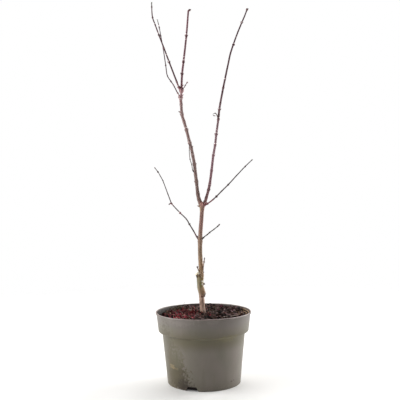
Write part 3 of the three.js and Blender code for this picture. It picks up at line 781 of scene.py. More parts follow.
def grained(look, pores, streak=5.0, depth=0.08):
    """Smooth young bark over a tone: long soft streaks, fine grain, pale pores and a satin skin."""
    streaks = look.noise(1.3, streak, detail=4, roughness=0.6, twist=0.3)
    patches = look.noise(6, 14, detail=2)
    grain = look.noise(0.35, 0.9)
    soft = streaks.between(0.34, 0.66, -0.05, 0.05) + patches.between(0.3, 0.7, 0.95, 1.05)
    look.shade(soft + grain.between(0.35, 0.65, -0.05, 0.05))
    cells = look.add("TexVoronoi", None, {"Vector": look.stretched(1.6, 1.1), "Scale": 1.0}, "Distance")
    pore = cells.between(0.16, 0.09)
    look.stain(pore * 0.3, pores)
    look.set({"Roughness": grain.between(0.3, 0.7, 0.62, 0.78)})
    return look.finish(streaks * 0.7 + grain * 0.3 + pore * 0.4, depth)


def stem_bark():
    """Bark of the trunk and boughs, coloured by place from the pale foot to the purple right bough, with
    painted shade and light by the way its faces turn.
    """
    look = Look("stem_bark", 0.7, 0.2)
    level = (look.height + (look.noise(5) - 0.5) * 8) / TREE_TOP
    trunk, right = (
        level.ramp(*((height / TREE_TOP, tone) for height, tone in tones))
        for tones in (TRUNK_TONES, RIGHT_TONES)
    )
    share = look.height.between(*FORK[0]) * look.across.between(*FORK[1])
    look.colour = look.mix(share, trunk, right)
    ribs = look.noise(1.0, 12, detail=1).between(0.4, 0.6, 0.62, 1.3)
    look.stain(look.height.between(182, 162), look.scaled(look.colour, ribs))
    # Painted shade and light: the bark is darker where it faces left, lighter where it faces the front, and
    # less so where it faces right.
    side = look.add("SeparateXYZ", None, {"Vector": look.add("TexCoord", output="Normal")}, "X")
    look.shade(side.between(-0.95, -0.3, 0.66, 1.22))
    look.shade(side.between(0, 0.9, 1, 0.84))
    look.stain_marks(STEM_MARKS, ragged=0.3, grain=1.2)
    return grained(look, 0xCEBCB0)


def cut_wax():
    """The wax on the old stem's flat cut: cream, a little grimy, and lit through."""
    look = Look("cut_wood", 0.75, 0.25)
    inputs = {"Vector": look.place, "Scale": 0.35, "Distortion": 1.5, "Detail": 2.0}
    rings = look.add("TexWave", {"wave_type": "RINGS", "rings_direction": "Z"}, inputs, "Fac")
    look.colour = rings.ramp((0.2, 0xF1E5CC), (0.8, 0xF8F0DC))
    look.stain(look.noise(1.5, detail=4).between(0.56, 0.76, 0, 0.4), 0x96886C)
    look.set({
        "Subsurface Weight": 0.6, "Subsurface Radius": (1, 0.94, 0.8), "Subsurface Scale": 4 * MM,
    })
    return look.finish(rings, 0.06)


def pot_outside():
    """Satin taupe plastic: faint clouds and runs of water marks, a rusty stain, dirt near the foot, painted
    shade on the left side, and painted highlights on the rim and band.
    """
    look = Look("pot_plastic", 0.45, 0.45)
    height = look.height
    runs = look.noise(7, 90, roughness=0.6)
    dust = look.noise(1.4, detail=4, roughness=0.7)
    clouds = look.noise(34, 52, detail=2, roughness=0.5)
    look.colour = clouds.ramp((0.36, 0x6C675C), (0.64, 0x736B63))
    look.stain(runs.between(0.5, 0.72, 0, 0.35), 0x686352)
    olive = height.between(122, 98) * height.between(70, 92)
    look.stain(olive * 0.85, 0x5E5843)
    look.stain(height.between(116, 126, 0, 0.55), 0x716A67)
    look.stain(height.between(22, 4, 0, 0.3) * dust.between(0.4, 0.6), 0x544C3C)
    # Painted highlight along the top of the rim.
    look.stain(height.between(POT_HEIGHT - 1.6, POT_HEIGHT - 0.5, 0, 0.75), 0xA69490)
    flank = look.across.between(-44, -60) * height.between(84, 26)
    look.stain(flank * 0.5, 0x4C442E)
    look.stain_marks(POT_MARKS, ragged=0.5, grain=5)
    specks = look.noise(2.6, detail=5, roughness=0.75).between(0.6, 0.66)
    soiled = specks * look.spot((-46, -52, 9), (30, 40, 17), ragged=0.2)
    look.stain(soiled, 0x382C20)
    stray = look.noise(1.9, detail=4, roughness=0.7).between(0.69, 0.72)
    look.stain(stray * height.between(40, 10), 0x3C3228)
    look.set({"Roughness": dust.between(0.3, 0.7, 0.36, 0.54) + soiled * 0.3})
    return look.finish(look.noise(0.45, detail=2) * 0.5 + soiled * 1.5, 0.06)


def pot_inside():
    """The lining of the pot, mottled, and coloured darker than the outside as painted shade inside the pot.
    """
    look = Look("pot_lining", 0.6, 0.4)
    lining_mottle = look.noise(6, 10, detail=5, roughness=0.7)
    # Painted shade: the lining's tones are darker than the outside's.
    look.colour = lining_mottle.ramp((0.3, 0x3A3532), (0.52, 0x585350), (0.75, 0x68625E))
    # Painted highlight along the inner edge of the rim.
    look.stain(look.height.between(POT_HEIGHT - 2.0, POT_HEIGHT - 0.6, 0, 0.7), 0x968A82)
    return look.finish(lining_mottle, 0.2)


def crumbly(name, dark, light, grain=1.2, roughness=0.85, depth=0.5):
    """Bark chips, leaf bits, moss and other litter: mottled, with a rough grain."""
    look = Look(name, roughness, 0.25)
    fine = look.noise(grain * 0.5, detail=4, roughness=0.65)
    look.colour = look.noise(grain * 2.4).ramp((0.35, dark), (0.65, light))
    look.stain(fine.between(0.55, 0.4, 0, 0.5), dark)
    return look.finish(fine, depth)


def shoot_bark(name, tone, marks=()):
    """The thin smooth bark of a shoot or twig in one tone, a little darker in streaks and at its marks."""
    look = Look(name, 0.7, 0.25)
    look.colour = linear(tone)
    look.shade(look.noise(4, 22, detail=2).between(0.35, 0.65, 0.9, 1.12))
    look.stain_marks(marks, ragged=0.2, grain=4)
    return grained(look, 0xB09C92, streak=9.0)


def bud_material(name, dark, light):
    """Small pointed buds: satin red-brown scales, redder at the whorl and pale at the pale tips."""
    look = Look(name, 0.55, 0.3)
    mottle = look.noise(0.9, 1.6)
    look.colour = mottle.ramp((0.35, dark), (0.7, light))
    whorl = look.height.between(*WHORL[0]) * look.height.between(*WHORL[1])
    look.stain(whorl, mottle.ramp((0.35, 0x8E6266), (0.7, 0xB08284)))
    for centre, reach in PALE_TIPS:
        look.stain(look.spot(centre, reach), 0xBEC0B8)
    return look.finish(look.noise(0.25, 0.8), 0.08)


def band_material(name, dark, light):
    """The dark scar or the pale waxy ring at a node."""
    look = Look(name, 0.75, 0.2)
    mottle = look.noise(0.8)
    look.colour = mottle.ramp((0.35, dark), (0.65, light))
    return look.finish(mottle, 0.08)


# Limbs

def unit(vector):
    return vector / np.linalg.norm(vector, axis=-1, keepdims=True)


def leaning(right, back):
    """A direction from its leans to the right and to the back, in degrees."""
    right = math.radians(right)
    back = math.radians(back)
    return np.array([math.sin(right) * math.cos(back), math.sin(back), math.cos(right) * math.cos(back)])


def smooth_line(joints, steps):
    """A centripetal spline through the joints, with the same number of steps between each two."""
    ends = [2 * joints[0] - joints[1], *joints, 2 * joints[-1] - joints[-2]]
    t = (np.arange(steps) / steps)[:, None]
    pieces = []
    for p0, p1, p2, p3 in zip(ends, ends[1:], ends[2:], ends[3:]):
        d0, d1, d2 = (math.sqrt(np.linalg.norm(b - a)) for a, b in ((p0, p1), (p1, p2), (p2, p3)))
        leave = ((p1 - p0) / d0 - (p2 - p0) / (d0 + d1) + (p2 - p1) / d1) * d1
        arrive = ((p2 - p1) / d1 - (p3 - p1) / (d1 + d2) + (p3 - p2) / d2) * d1
        square = -3 * p1 + 3 * p2 - 2 * leave - arrive
        cube = 2 * p1 - 2 * p2 + leave + arrive
        pieces.append(p1 + leave * t + square * t ** 2 + cube * t ** 3)
    return np.concatenate([*pieces, joints[-1][None]])


class Limb:
    """A limb's middle line, its nodes and its radius along it."""

    def __init__(self, spec, foot, parent_radius=0.0):
        self.spec = spec
        self.collar_at = parent_radius
        self.has_buds = spec.get("buds", True)
        self.has_end_bud = spec.get("end_bud", self.has_buds)
        rows = spec["internodes"]
        whole = sum(row[0] for row in rows)
        low, high = spec["lean_back"]
        joints = [np.array(foot, float)]
        run = 0
        for length, lean, *_ in rows:
            share = (run + length / 2) / whole
            joints.append(joints[-1] + length * leaning(lean, low + (high - low) * share))
            run += length
        self.line = smooth_line(joints, LINE_STEPS)
        hops = np.linalg.norm(np.diff(self.line, axis=0), axis=1)
        self.run = np.concatenate([[0], np.cumsum(hops)])
        self.length = self.run[-1]
        extras = [row[2] if len(row) > 2 else None for row in rows]
        self.nodes = list(zip(self.run[LINE_STEPS::LINE_STEPS], extras))

    def points(self, at):
        return np.stack([np.interp(at, self.run, axis) for axis in self.line.T], 1)

    def places(self, at):
        """Points along the limb, with the directions along it, to its right and to its front."""
        at = np.atleast_1d(np.asarray(at, float))
        inside = np.clip(at, 0, self.length)
        ahead = np.clip(inside + TANGENT_STEP, 0, self.length)
        behind = np.clip(inside - TANGENT_STEP, 0, self.length)
        along = unit(self.points(ahead) - self.points(behind))
        right = unit(np.cross(along, [0, 1, 0]))
        return self.points(inside) + along * (at - inside)[:, None], along, right, np.cross(right, along)

    def place(self, at):
        return [value[0] for value in self.places(at)]

    def radius(self, at):
        spec = self.spec
        plain = spec["foot_radius"] + (spec["tip_radius"] - spec["foot_radius"]) * at / self.length
        reach = np.maximum(NODE_REACH_LEAST, NODE_REACH * plain)
        radius = plain
        for node_at, extra in self.nodes:
            added = NODE_SWELLING * plain if extra is None else extra
            radius = radius + added * np.exp(-(((at - node_at) / reach) ** 2))
        if "flare" in spec:
            radius = radius + spec["flare"][0] * np.exp(-((at / spec["flare"][1]) ** 2))
        if self.collar_at:
            out = np.maximum(0, at - self.collar_at)
            radius = radius + COLLAR * plain * np.exp(-((out / (COLLAR_REACH * plain)) ** 2))
        return radius

    def ridges(self, at):
        """The fine rings that leaf stalks leave at the nodes that aren't mere bends."""
        ridge = np.zeros_like(at)
        for node_at in (node_at for node_at, extra in self.nodes if extra != 0):
            for shift, share in SCAR_RINGS:
                ridge += share * SCAR_RIDGE * np.exp(-(((at - node_at - shift) / SCAR_REACH) ** 2))
        return ridge

    def run_to(self, height):
        return float(np.interp(height, self.line[:, 2], self.run))

    def at_height(self, height):
        run = self.run_to(height)
        return self.place(run)[0], float(self.radius(run))


def limb_tube(limb, step, sides, kind, seed):
    """The limb as a closed tube with node rings and slightly uneven sides."""
    flat = limb.spec.get("flat_tip")
    at = np.linspace(0, limb.length, max(8, int(round(limb.length / step))))
    radius = limb.radius(at)
    radius = radius + limb.ridges(at) * (SCAR_GROWTH[0] + SCAR_GROWTH[1] * radius)
    past, shares = np.transpose(FLAT_END if flat else ROUND_END) * radius[-1]
    at = np.concatenate([at, limb.length + past])
    radius = np.concatenate([radius, shares])
    if limb.has_end_bud:
        radius = radius * np.interp(at - limb.length, *BUD_SOCKET)
    point, along, right, front = limb.places(at)
    turn = circle(sides)
    round_size, along_size = RAGGED_WAVES
    uneven = 1 + RAGGED[kind] * np.array([
        [
            noise.noise((math.cos(a) * round_size + seed * 7.1, math.sin(a) * round_size, run * along_size))
            for a in turn
        ]
        for run in at
    ])
    rings = ring_points(point, right, front, turn, radius[:, None] * uneven)
    tip = point[-1] + along[-1] * (0 if flat else radius[-1] * TIP_DOME)
    return skin(rings, point[0], tip, flip=True)


def spur_parts(limb):
    """A limb's broken side stubs: short tapers with rough blunt ends."""
    parts = []
    for height, lean, length, radius in limb.spec.get("spurs", ()):
        vertices, faces = turned(np.multiply(SPUR, (radius, length)), SPUR_SIDES)
        parts.append((aimed(vertices, limb.at_height(height)[0], leaning(lean, 0)), faces))
    return parts


def bud_part(foot, direction, length, width, spin):
    """A pointed bud: a plump core in two cupped outer scales, each with a lip."""
    parts = [turned(np.multiply(BUD_CORE, (width, length)), BUD_SIDES)]
    shell, faces = turned(np.multiply(BUD_SCALE, (width, length)), BUD_SIDES)
    for side in (1, -1):
        parts.append((shell * [1, SCALE_FLAT, 1] + [0, SCALE_OUT * width * side, 0], faces))
    vertices, faces = joined(parts)
    return aimed(vertices, foot, direction, spin), faces


def seeded(state):
    """A repeatable stream of numbers from 0 to 1, the same as the solids use."""
    whole = 0xFFFFFFFF
    while True:
        state = (state + 0x6D2B79F5) & whole
        bits = ((state ^ (state >> 15)) * (1 | state)) & whole
        bits = ((bits + (((bits ^ (bits >> 7)) * (61 | bits)) & whole)) ^ bits) & whole
        yield (bits ^ (bits >> 14)) / (whole + 1)


def bud_parts(limb, seed):
    """A pair of buds at every node, by the rule of the solids: turned across the last pair."""
    draw = seeded(seed).__next__
    parts = []
    lean = math.radians(BUD_LEAN)
    for i, (node_at, extra) in enumerate(limb.nodes):
        pair = math.radians(i * limb.spec.get("bud_turn", BUD_TURN) + (draw() * 2 - 1) * BUD_JITTER)
        for side in (0, math.pi):
            radius = float(limb.radius(node_at))
            stout = min(BUD_STOUT[1], max(BUD_STOUT[0], radius / BUD_LIMB_RADIUS))
            size = stout * (BUD_SIZE[0] + BUD_SIZE[1] * draw())
            if draw() >= BUD_SHARE or extra == 0:
                continue
            point, along, right, front = limb.place(node_at - BUD_DROP)
            out = right * math.cos(pair + side) + front * math.sin(pair + side)
            direction = along * math.cos(lean) + out * math.sin(lean)
            length = BUD_LENGTH * size + radius * 0.6
            parts.append(bud_part(point + out * radius * 0.45, direction, length, BUD_RADIUS * size, pair))
    return parts


def end_bud(limb):
    """The closed bud at a limb's tip."""
    radius = float(limb.radius(limb.length))
    foot, along, _, _ = limb.place(limb.length - END_BUD_SEAT)
    return bud_part(foot, along, END_BUD_SEAT + END_BUD_REACH * radius, radius * END_BUD_WIDTH, 0)


def band_part(limb, height, width):
    """A thin closed band round a limb at a height, with wavy edges."""
    run = limb.run_to(height)
    at = run + width * np.array(BAND_PLACES)
    proud = BAND_PROUD * (1 + float(limb.radius(run)))
    out = np.array([BAND_SINK, BAND_LIP, proud, proud, BAND_LIP, BAND_SINK])
    point, along, right, front = limb.places(at)
    turn = circle(BAND_SIDES)
    rings = ring_points(point, right, front, turn, (limb.radius(at) + out)[:, None])
    wave = BAND_WAVE * np.cos(2 * turn + at[0])
    return skin(rings + along[:, None] * wave[:, None], loop=True)


def grow_limbs():
    limbs = {}
    for name, spec in LIMBS.items():
        start = limbs[spec["on"]].at_height(spec["height"]) if "on" in spec else (spec["foot"],)
        limbs[name] = Limb(spec, *start)
    return limbs


def raise_bark(mesh):
    """Fine relief on the skin: ribs and fissures low on the trunk, faint streaks higher up, and pores."""
    places, normals = (np.empty(len(mesh.vertices) * 3) for _ in range(2))
    mesh.vertices.foreach_get("co", places)
    mesh.vertices.foreach_get("normal", normals)
    lift = []
    for x, y, z in places.reshape(-1, 3) / MM:
        streak, grain, pore, rib = (
            noise.noise((x / across, y / across, z / along + start))
            for _, across, along, start in (STREAKS, GRAIN, PORES, RIBS)
        )
        rib = (1 - abs(rib) * 4) * float(smooth(*FOOT_RIBS, z))
        lift.append(
            STREAKS[0] * (0.6 - abs(streak) * 2) + GRAIN[0] * grain
            + PORES[0] * max(0.0, pore - 0.45) + RIBS[0] * rib
        )
    mesh.vertices.foreach_set("co", places + normals * np.repeat(lift, 3) * MM)
    mesh.update()


def make_stem(limbs, stub):
    """Trunk, old stub and both boughs fused into one skin with the bark's relief."""
    parts = [limb_tube(limbs[name], STEM_STEP, STEM_SIDES, "stem", i) for i, name in enumerate(STEM)]
    parts.append(limb_tube(stub, STEM_STEP, STEM_SIDES, "stub", STUB_SEED))
    for name in STEM:
        parts += spur_parts(limbs[name])
    stem = add_piece("stem", joined(parts), stem_bark(), slot="bark")
    remesh = stem.modifiers.new("skin", "REMESH")
    remesh.mode = "VOXEL"
    remesh.voxel_size = STEM_VOXEL * MM
    settle = stem.modifiers.new("settle", "SMOOTH")
    settle.factor = 0.5
    settle.iterations = 3
    bake_modifiers(stem)
    raise_bark(stem.data)
    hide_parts(*STEM)


def make_cut(stub):
    """The flat cut on the old stub under a low cap of pale wax."""
    point, along, _, _ = stub.place(stub.length)
    vertices, faces = turned(np.multiply(WAX_CAP, (float(stub.radius(stub.length)), 1)), WAX_SIDES)
    for vertex in vertices:
        vertex[2] += 0.5 * noise.noise((vertex[0] / 1.2, vertex[1] / 1.2, 3))
    add_piece("stub_cut", (aimed(vertices, point, along), faces), cut_wax(), slot="bark")


def make_ties(trunk):
    """Pale windings left from the tie that held the graft."""
    parts = []
    for height in TIE_HEIGHTS:
        point, radius = trunk.at_height(height)
        profile = [(0, -TIE_HALF), *((radius + out, level) for out, level in TIE), (0, TIE_HALF)]
        vertices, faces = turned(profile, TIE_SIDES)
        vertices[:, 2] -= TIE_SLANT * vertices[:, 0]
        parts.append((vertices + point, faces))
    add_piece("graft_ties", joined(parts), shoot_bark("tie_fibre", 0xDEC8B0), slot="bark")


def make_twig(name, limb, slot):
    tube = limb_tube(limb, TWIG_STEP, TWIG_SIDES, "twig", len(name))
    material = shoot_bark(name + "_skin", *THIN_BARK[name])
    twig = add_piece(name + "_bark", joined([tube, *spur_parts(limb)]), material, slot=slot)
    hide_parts(name)


def add_small(name, parts, material):
    """Many small closed parts as one piece, all facing outwards."""
    face_outwards(add_piece(name, joined(parts), material, slot="shoot").data)


def make_plant():
    limbs = grow_limbs()
    stub = Limb(STUB, limbs["trunk"].at_height(STUB["height"])[0])
    make_stem(limbs, stub)
    make_cut(stub)
    make_ties(limbs["trunk"])
    buds = {kind: [] for kind in BUD_TONES}
    scars = []
    rings = []
    for i, (name, limb) in enumerate(limbs.items()):
        kind = "bough" if name in STEM else "shoot" if name.endswith("shoot") else "twig"
        if name not in STEM:
            make_twig(name, limb, kind)
        if limb.has_buds:
            buds[kind] += bud_parts(limb, BUD_SEED + i)
        if limb.has_end_bud:
            buds["pale" if name in PALE_ENDS else kind].append(end_bud(limb))
        scars += [band_part(limb, *band) for band in SCARS.get(name, ())]
        rings += [band_part(limb, *band) for band in RINGS.get(name, ())]
    for kind, tones in BUD_TONES.items():
        add_small(kind + "_buds", buds[kind], bud_material(kind + "_buds", *tones))
    add_small("node_scars", scars, band_material("node_scars", 0x4A3436, 0x6A4E50))
    add_small("node_rings", rings, band_material("node_rings", 0xDAC4C3, 0xF0E2E0))


# Pot

def steps_between(low, high, steps):
    """Points on a straight line in the (radius, height) plane, without its two ends."""
    return [tuple(a + (b - a) * k / steps for a, b in zip(low, high)) for k in range(1, steps)]


def pot_profile():
    """The pot's outside and inside as (radius, height), from the underside's middle round to the floor."""
    foot_end = (FOOT_RADIUS, FOOT_ROUND)
    shoulder_end = (SHOULDER_RADIUS, FOOT_ROUND + SHOULDER - 1.5)
    outside = [
        (0, 0), (40, 0), (FOOT_RADIUS - FOOT_ROUND, 0),
        *arc((FOOT_RADIUS - FOOT_ROUND, FOOT_ROUND), FOOT_ROUND, -72, 0, 5),
        *steps_between(foot_end, shoulder_end, 6), shoulder_end,
        *((SHOULDER_RADIUS + out, SHOULDER + up) for out, up in SHOULDER_STEP),
        (BAND_LOW_RADIUS + BAND_TUCK[0], BAND_LOW + BAND_TUCK[1]),
        *arc((BAND_LOW_RADIUS - BAND_ROUND, BAND_LOW - 0.2), BAND_ROUND, -50, 4, 5),
        *steps_between((BAND_LOW_RADIUS, BAND_LOW), (BAND_TOP_RADIUS, LIP_LOW), 4),
        (BAND_TOP_RADIUS, LIP_LOW - 0.3), (BAND_TOP_RADIUS + 0.35, LIP_LOW + 0.05),
        *arc((RIM_RADIUS - LIP_UNDER_ROUND, LIP_LOW + 0.9), LIP_UNDER_ROUND, -80, 0, 4),
        *arc((RIM_RADIUS - LIP_ROUND, POT_HEIGHT - LIP_ROUND), LIP_ROUND, 10, 90, 6),
    ]
    inside = [
        *arc((BAND_TOP_RADIUS - WALL + LIP_ROUND, POT_HEIGHT - LIP_ROUND), LIP_ROUND, 90, 180, 5),
        (BAND_TOP_RADIUS - WALL - 0.5, POT_HEIGHT - 8),
        (BAND_LOW_RADIUS - WALL, BAND_LOW + WALL), (BAND_LOW_RADIUS - WALL - 1.2, BAND_LOW + 0.2),
        (SHOULDER_RADIUS - WALL, SHOULDER + WALL * 0.6), (SHOULDER_RADIUS - WALL - 0.2, SHOULDER - 1),
        (FOOT_RADIUS - WALL, FLOOR), (0, FLOOR),
    ]
    return outside, inside


def prism(outline, near, far):
    """A closed prism between two distances to the front, from its outline in (x, z)."""
    count = len(outline)
    points = [(x, -y, z) for y in (near, far) for x, z in outline]
    faces = [tuple(range(count)), tuple(range(2 * count - 1, count - 1, -1))]
    faces += [(i, count + i, count + (i + 1) % count, (i + 1) % count) for i in range(count)]
    return np.array(points, float), faces


def notch_part():
    """The tool that leaves one drain notch: a tapered prism with rounded upper corners."""
    half = NOTCH_WIDTH / 2
    top = NOTCH_TOP_WIDTH / 2 + 1
    across, down = NOTCH_CORNER
    corner = [(top - across * t * t, NOTCH_HEIGHT - down * (1 - t) ** 2) for t in (0, 0.25, 0.5, 0.75, 1)]
    right_side = [(half + 2, -2), (half, 0), *corner]
    return prism(right_side + [(-x, z) for x, z in reversed(right_side)], NOTCH_INSIDE, RIM_RADIUS)


def channel_part():
    """The tool that leaves one shallow drain channel under the floor."""
    x = CHANNEL_WIDTH / 2
    z = CHANNEL_DEPTH
    return prism([(x, -z), (x, z), (-x, z), (-x, -z)], CHANNEL_START, NOTCH_INSIDE + 1)


def cut_with(piece, points, faces):
    """Cuts a closed shape out of a piece."""
    mesh = new_mesh("tool", points, faces)
    face_outwards(mesh)
    tool = placed("tool", mesh)
    cut = piece.modifiers.new("cut", "BOOLEAN")
    cut.operation = "DIFFERENCE"
    cut.solver = "EXACT"
    cut.object = tool
    bake_modifiers(piece)
    bpy.data.objects.remove(tool)
    bpy.data.meshes.remove(mesh)


def make_pot():
    outside, inside = pot_profile()
    vertices, faces = turned(outside + inside, POT_SIDES)
    turn = np.arctan2(vertices[:, 0], -vertices[:, 1])
    high = np.clip(vertices[:, 2] / POT_HEIGHT, 0, 1) ** 2
    spread, lift = (
        sum(much * func(waves * turn + start) for much, waves, start in rows)
        for rows, func in ((RIM_SPREAD, np.cos), (RIM_LIFT, np.sin))
    )
    vertices[:, :2] *= (1 + high * spread)[:, None]
    vertices[:, 2] += high ** 4 * (lift - RIM_SAG)
    marks = np.repeat([0] * len(outside) + [1] * (len(inside) - 1), POT_SIDES)
    plastics = (pot_outside(), pot_inside())
    pot = add_piece("pot_shell", (vertices, faces), *plastics, slot="pot_plastic", marks=marks)
    face_outwards(pot.data)
    for i in range(NOTCH_COUNT):
        spin = np.array(Matrix.Rotation(math.radians(NOTCH_TURN + 360 * i / NOTCH_COUNT), 3, "Z"))
        for points, corners in (notch_part(), channel_part()):
            cut_with(pot, points @ spin.T, corners)
    face_outwards(pot.data, POT_CREASE)
    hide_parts("pot")


# Soil

def soil_height(x, y):
    """Height of the compost, by the rule of the solids."""
    out = np.hypot(x, y)
    edge = out / RIM_RADIUS
    wave = np.sin(x * SOIL_LUMP_WAVES[0] + 1.3) * np.cos(y * SOIL_LUMP_WAVES[1] - 0.4)
    lumps = wave + 0.6 * np.sin(x * SOIL_LUMP_SLANT[0] + y * SOIL_LUMP_SLANT[1])
    away = smooth(SOIL_SEAT_RADIUS, SOIL_SEAT_RADIUS * 3, out)
    left = SOIL_LEFT_DIP * smooth(*SOIL_DIP_SPAN, -x)
    back = SOIL_BACK_RISE * smooth(*SOIL_RISE_SPAN, y)
    return SOIL_TOP - GAP - SOIL_CROWN * edge * edge + SOIL_LUMP * lumps * away - left + back


def litter_height(x, y):
    """The compost with humps and hollows finer than the solid has, level at the edge and the stem."""
    out = math.hypot(x, y)
    inner = smooth(SOIL_SEAT_RADIUS, SOIL_SEAT_RADIUS * 2, out)
    outer = smooth(SOIL_EDGE_RADIUS, SOIL_EDGE_RADIUS - 6, out)
    swell = SOIL_SWELL * noise.noise((x / SWELL_SIZE, y / SWELL_SIZE, 20))
    return float(soil_height(x, y) + swell * inner * outer)


def make_soil():
    """The compost as one closed body with a crumbly top."""
    profile = [
        (0, FLOOR + GAP), (FOOT_RADIUS - WALL - GAP, FLOOR + GAP),
        (SHOULDER_RADIUS - WALL - 2 * GAP, SHOULDER), (BAND_LOW_RADIUS - WALL - 5 * GAP, BAND_LOW + WALL),
    ]
    start = 1 + (len(profile) - 1) * BED_SIDES
    profile += [(radius, SOIL_TOP) for radius in np.linspace(SOIL_EDGE_RADIUS, 1.2, BED_RINGS)]
    vertices, faces = turned([*profile, (0, SOIL_TOP)], BED_SIDES)
    coarse, fine = CRUMB_SIZES
    for vertex in vertices[start:]:
        x, y, _ = vertex
        crumbs = noise.noise((x / coarse, y / coarse, 0)) + 0.6 * noise.noise((x / fine, y / fine, 9))
        vertex[2] = litter_height(x, y) - BED_DEPTH + BED_CRUMBS * crumbs
    for vertex in vertices[1:start]:
        shrink = BED_SIDE_CRUMBS * abs(noise.noise(vertex / SIDE_CRUMB_SIZE))
        vertex[:2] *= 1 - shrink / np.hypot(*vertex[:2])
    material = crumbly("compost", 0x0B0605, 0x1E1310, grain=1.6, depth=0.8)
    soil = add_piece("soil_bed", (vertices, faces), material, slot="compost")
    face_outwards(soil.data)
    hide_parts("soil")


def chip_shapes(rng, count, flat, long, detail=2):
    """A few fragments of bark, each about 1 across: rough, split flat on several sides and grooved."""
    shapes = []
    for i in range(count):
        shape = bmesh.new()
        bmesh.ops.create_icosphere(shape, subdivisions=detail, radius=0.5)
        for vertex in shape.verts:
            vertex.co *= 1 + 0.5 * noise.noise(vertex.co * 2.3 + Vector((i * 5.3, 0, 0)))
        for _ in range(5):
            axis = Vector([rng.gauss(0, 1) for _ in range(3)]).normalized()
            limit = rng.uniform(0.22, 0.4)
            for vertex in shape.verts:
                vertex.co -= axis * max(0, vertex.co.dot(axis) - limit) * 0.92
        for vertex in shape.verts if detail > 2 else ():
            x, y, z = vertex.co
            vertex.co.z += 0.07 * noise.noise((x * 0.9 + i * 3.1, y * 9, 4)) * (1 if z > 0 else -1)
        points = np.array([tuple(vertex.co) for vertex in shape.verts]) * [long, 1, flat]
        shapes.append((points, [tuple(vertex.index for vertex in face.verts) for face in shape.faces]))
        shape.free()
    return shapes


def thickened(top, corners, border):
    """A closed shell from a sheet of points, its faces and the loop of its border."""
    size = len(top)
    points = np.concatenate([top + [0, 0, SHEET_HALF], top - [0, 0, SHEET_HALF]])
    faces = corners + [tuple(size + i for i in reversed(face)) for face in corners]
    return points, faces + [(b, a, size + a, size + b) for a, b in zip(border, border[1:] + border[:1])]


def shred_shapes(rng, count):
    """Shreds of dried leaf: narrow pointed lobes, cupped, curled and twisted."""
    shapes = []
    for _ in range(count):
        width = rng.uniform(0.16, 0.34)
        cup = rng.uniform(0.1, 0.5)
        curl = rng.choice((-1, 1)) * rng.uniform(0.3, 1.6)
        twist = rng.uniform(-1.2, 1.2)
        top = []
        for t in (row / (SHRED_ROWS - 1) for row in range(SHRED_ROWS)):
            half = width * (math.sin(math.pi * min(1, t * 0.92 + 0.1)) ** 0.8 + 0.03) * (1 - 0.25 * t)
            half *= 1 + 0.3 * rng.uniform(-1, 1)
            bend = curl * (t - 0.5)
            centre = np.array([math.sin(bend) / abs(curl), 0, (1 - math.cos(bend)) / curl])
            angle = twist * (t - 0.5)
            sideways = np.array([0, math.cos(angle), math.sin(angle)])
            upward = np.array([0, -math.sin(angle), math.cos(angle)])
            top += [centre + sideways * side * half + upward * cup * half * abs(side) for side in (-1, 0, 1)]
        corners = [(a, a + 3, a + 4, a + 1) for row in range(SHRED_ROWS - 1) for a in (row * 3, row * 3 + 1)]
        last = 3 * SHRED_ROWS - 1
        border = [0, 1, *range(2, last + 1, 3), last - 1, *range(last - 2, 0, -3)]
        shapes.append(thickened(np.array(top), corners, border))
    return shapes


def leaf_shapes(rng, count):
    """Dried palmate leaves about 1 across: pointed lobes folded along their ribs, curled and crumpled."""
    shapes = []
    for number in range(count):
        lobes = rng.choice((5, 7))
        sides = lobes * LOBE_SIDES
        fold = rng.uniform(0.25, 0.6)
        curl = [rng.uniform(-0.9, 1.5) for _ in range(lobes)]
        length = [rng.uniform(0.7, 1.05) for _ in range(lobes)]
        rings = np.empty((LEAF_RINGS, sides, 3))
        for ring, k in np.ndindex(LEAF_RINGS, sides):
            turn = 2 * math.pi * k / sides
            lobe = round(k / LOBE_SIDES) % lobes
            off = abs(k / LOBE_SIDES - round(k / LOBE_SIDES)) * 2
            reach = 0.5 * length[lobe] * (0.24 + 0.76 * (1 - off) ** 1.5) * (ring + 1) / LEAF_RINGS
            x = reach * math.sin(turn)
            y = reach * math.cos(turn)
            lift = curl[lobe] * reach * reach * 1.7 + fold * off * reach
            lift += 0.16 * noise.noise((x * 4 + number * 7, y * 4, 1))
            shrink = 1 - 0.35 * abs(lift)
            rings[ring, k] = x * shrink, y * shrink, lift
        top, corners = skin(rings, (0, 0, 0))
        shapes.append(thickened(top, corners, list(range(len(top) - 1, len(top) - 1 - sides, -1))))
    return shapes


def fibre_part(points, radius, sides=5):
    """A thin fibre through a few points."""
    line = smooth_line([np.array(p, float) for p in points], 5)
    along = unit(np.gradient(line, axis=0))
    side = unit(np.cross(along, [0.13, 0.21, 0.97]))
    taper = radius * (1 - 0.6 * np.linspace(0, 1, len(line)) ** 3)
    vertices, faces = skin(
        ring_points(line, side, np.cross(side, along), circle(sides), taper[:, None]), flip=True
    )
    ends = [tuple(range(sides)), tuple(range(len(vertices) - 1, len(vertices) - 1 - sides, -1))]
    return vertices, ends + faces


def scatter(rng, shapes, spots, tilt):
    """Copies of the shapes at (x, y, size, lift), each turned at random and laid on the compost."""
    parts = []
    for x, y, size, lift in spots:
        points, corners = shapes[rng.randrange(len(shapes))]
        turn = Matrix.Rotation(rng.uniform(0, 2 * math.pi), 3, "Z")
        for axis in "XY":
            turn = turn @ Matrix.Rotation(rng.gauss(0, tilt), 3, axis)
        parts.append(((points * size) @ np.array(turn).T + [x, y, litter_height(x, y) + lift], corners))
    return joined(parts)


def on_soil(rng):
    """A random place on the compost, evenly spread and off the stem."""
    out = math.sqrt(rng.uniform(STEM_CLEAR ** 2, (SOIL_EDGE_RADIUS - EDGE_CLEAR) ** 2))
    turn = rng.uniform(0, 2 * math.pi)
    return out * math.sin(turn), -out * math.cos(turn)


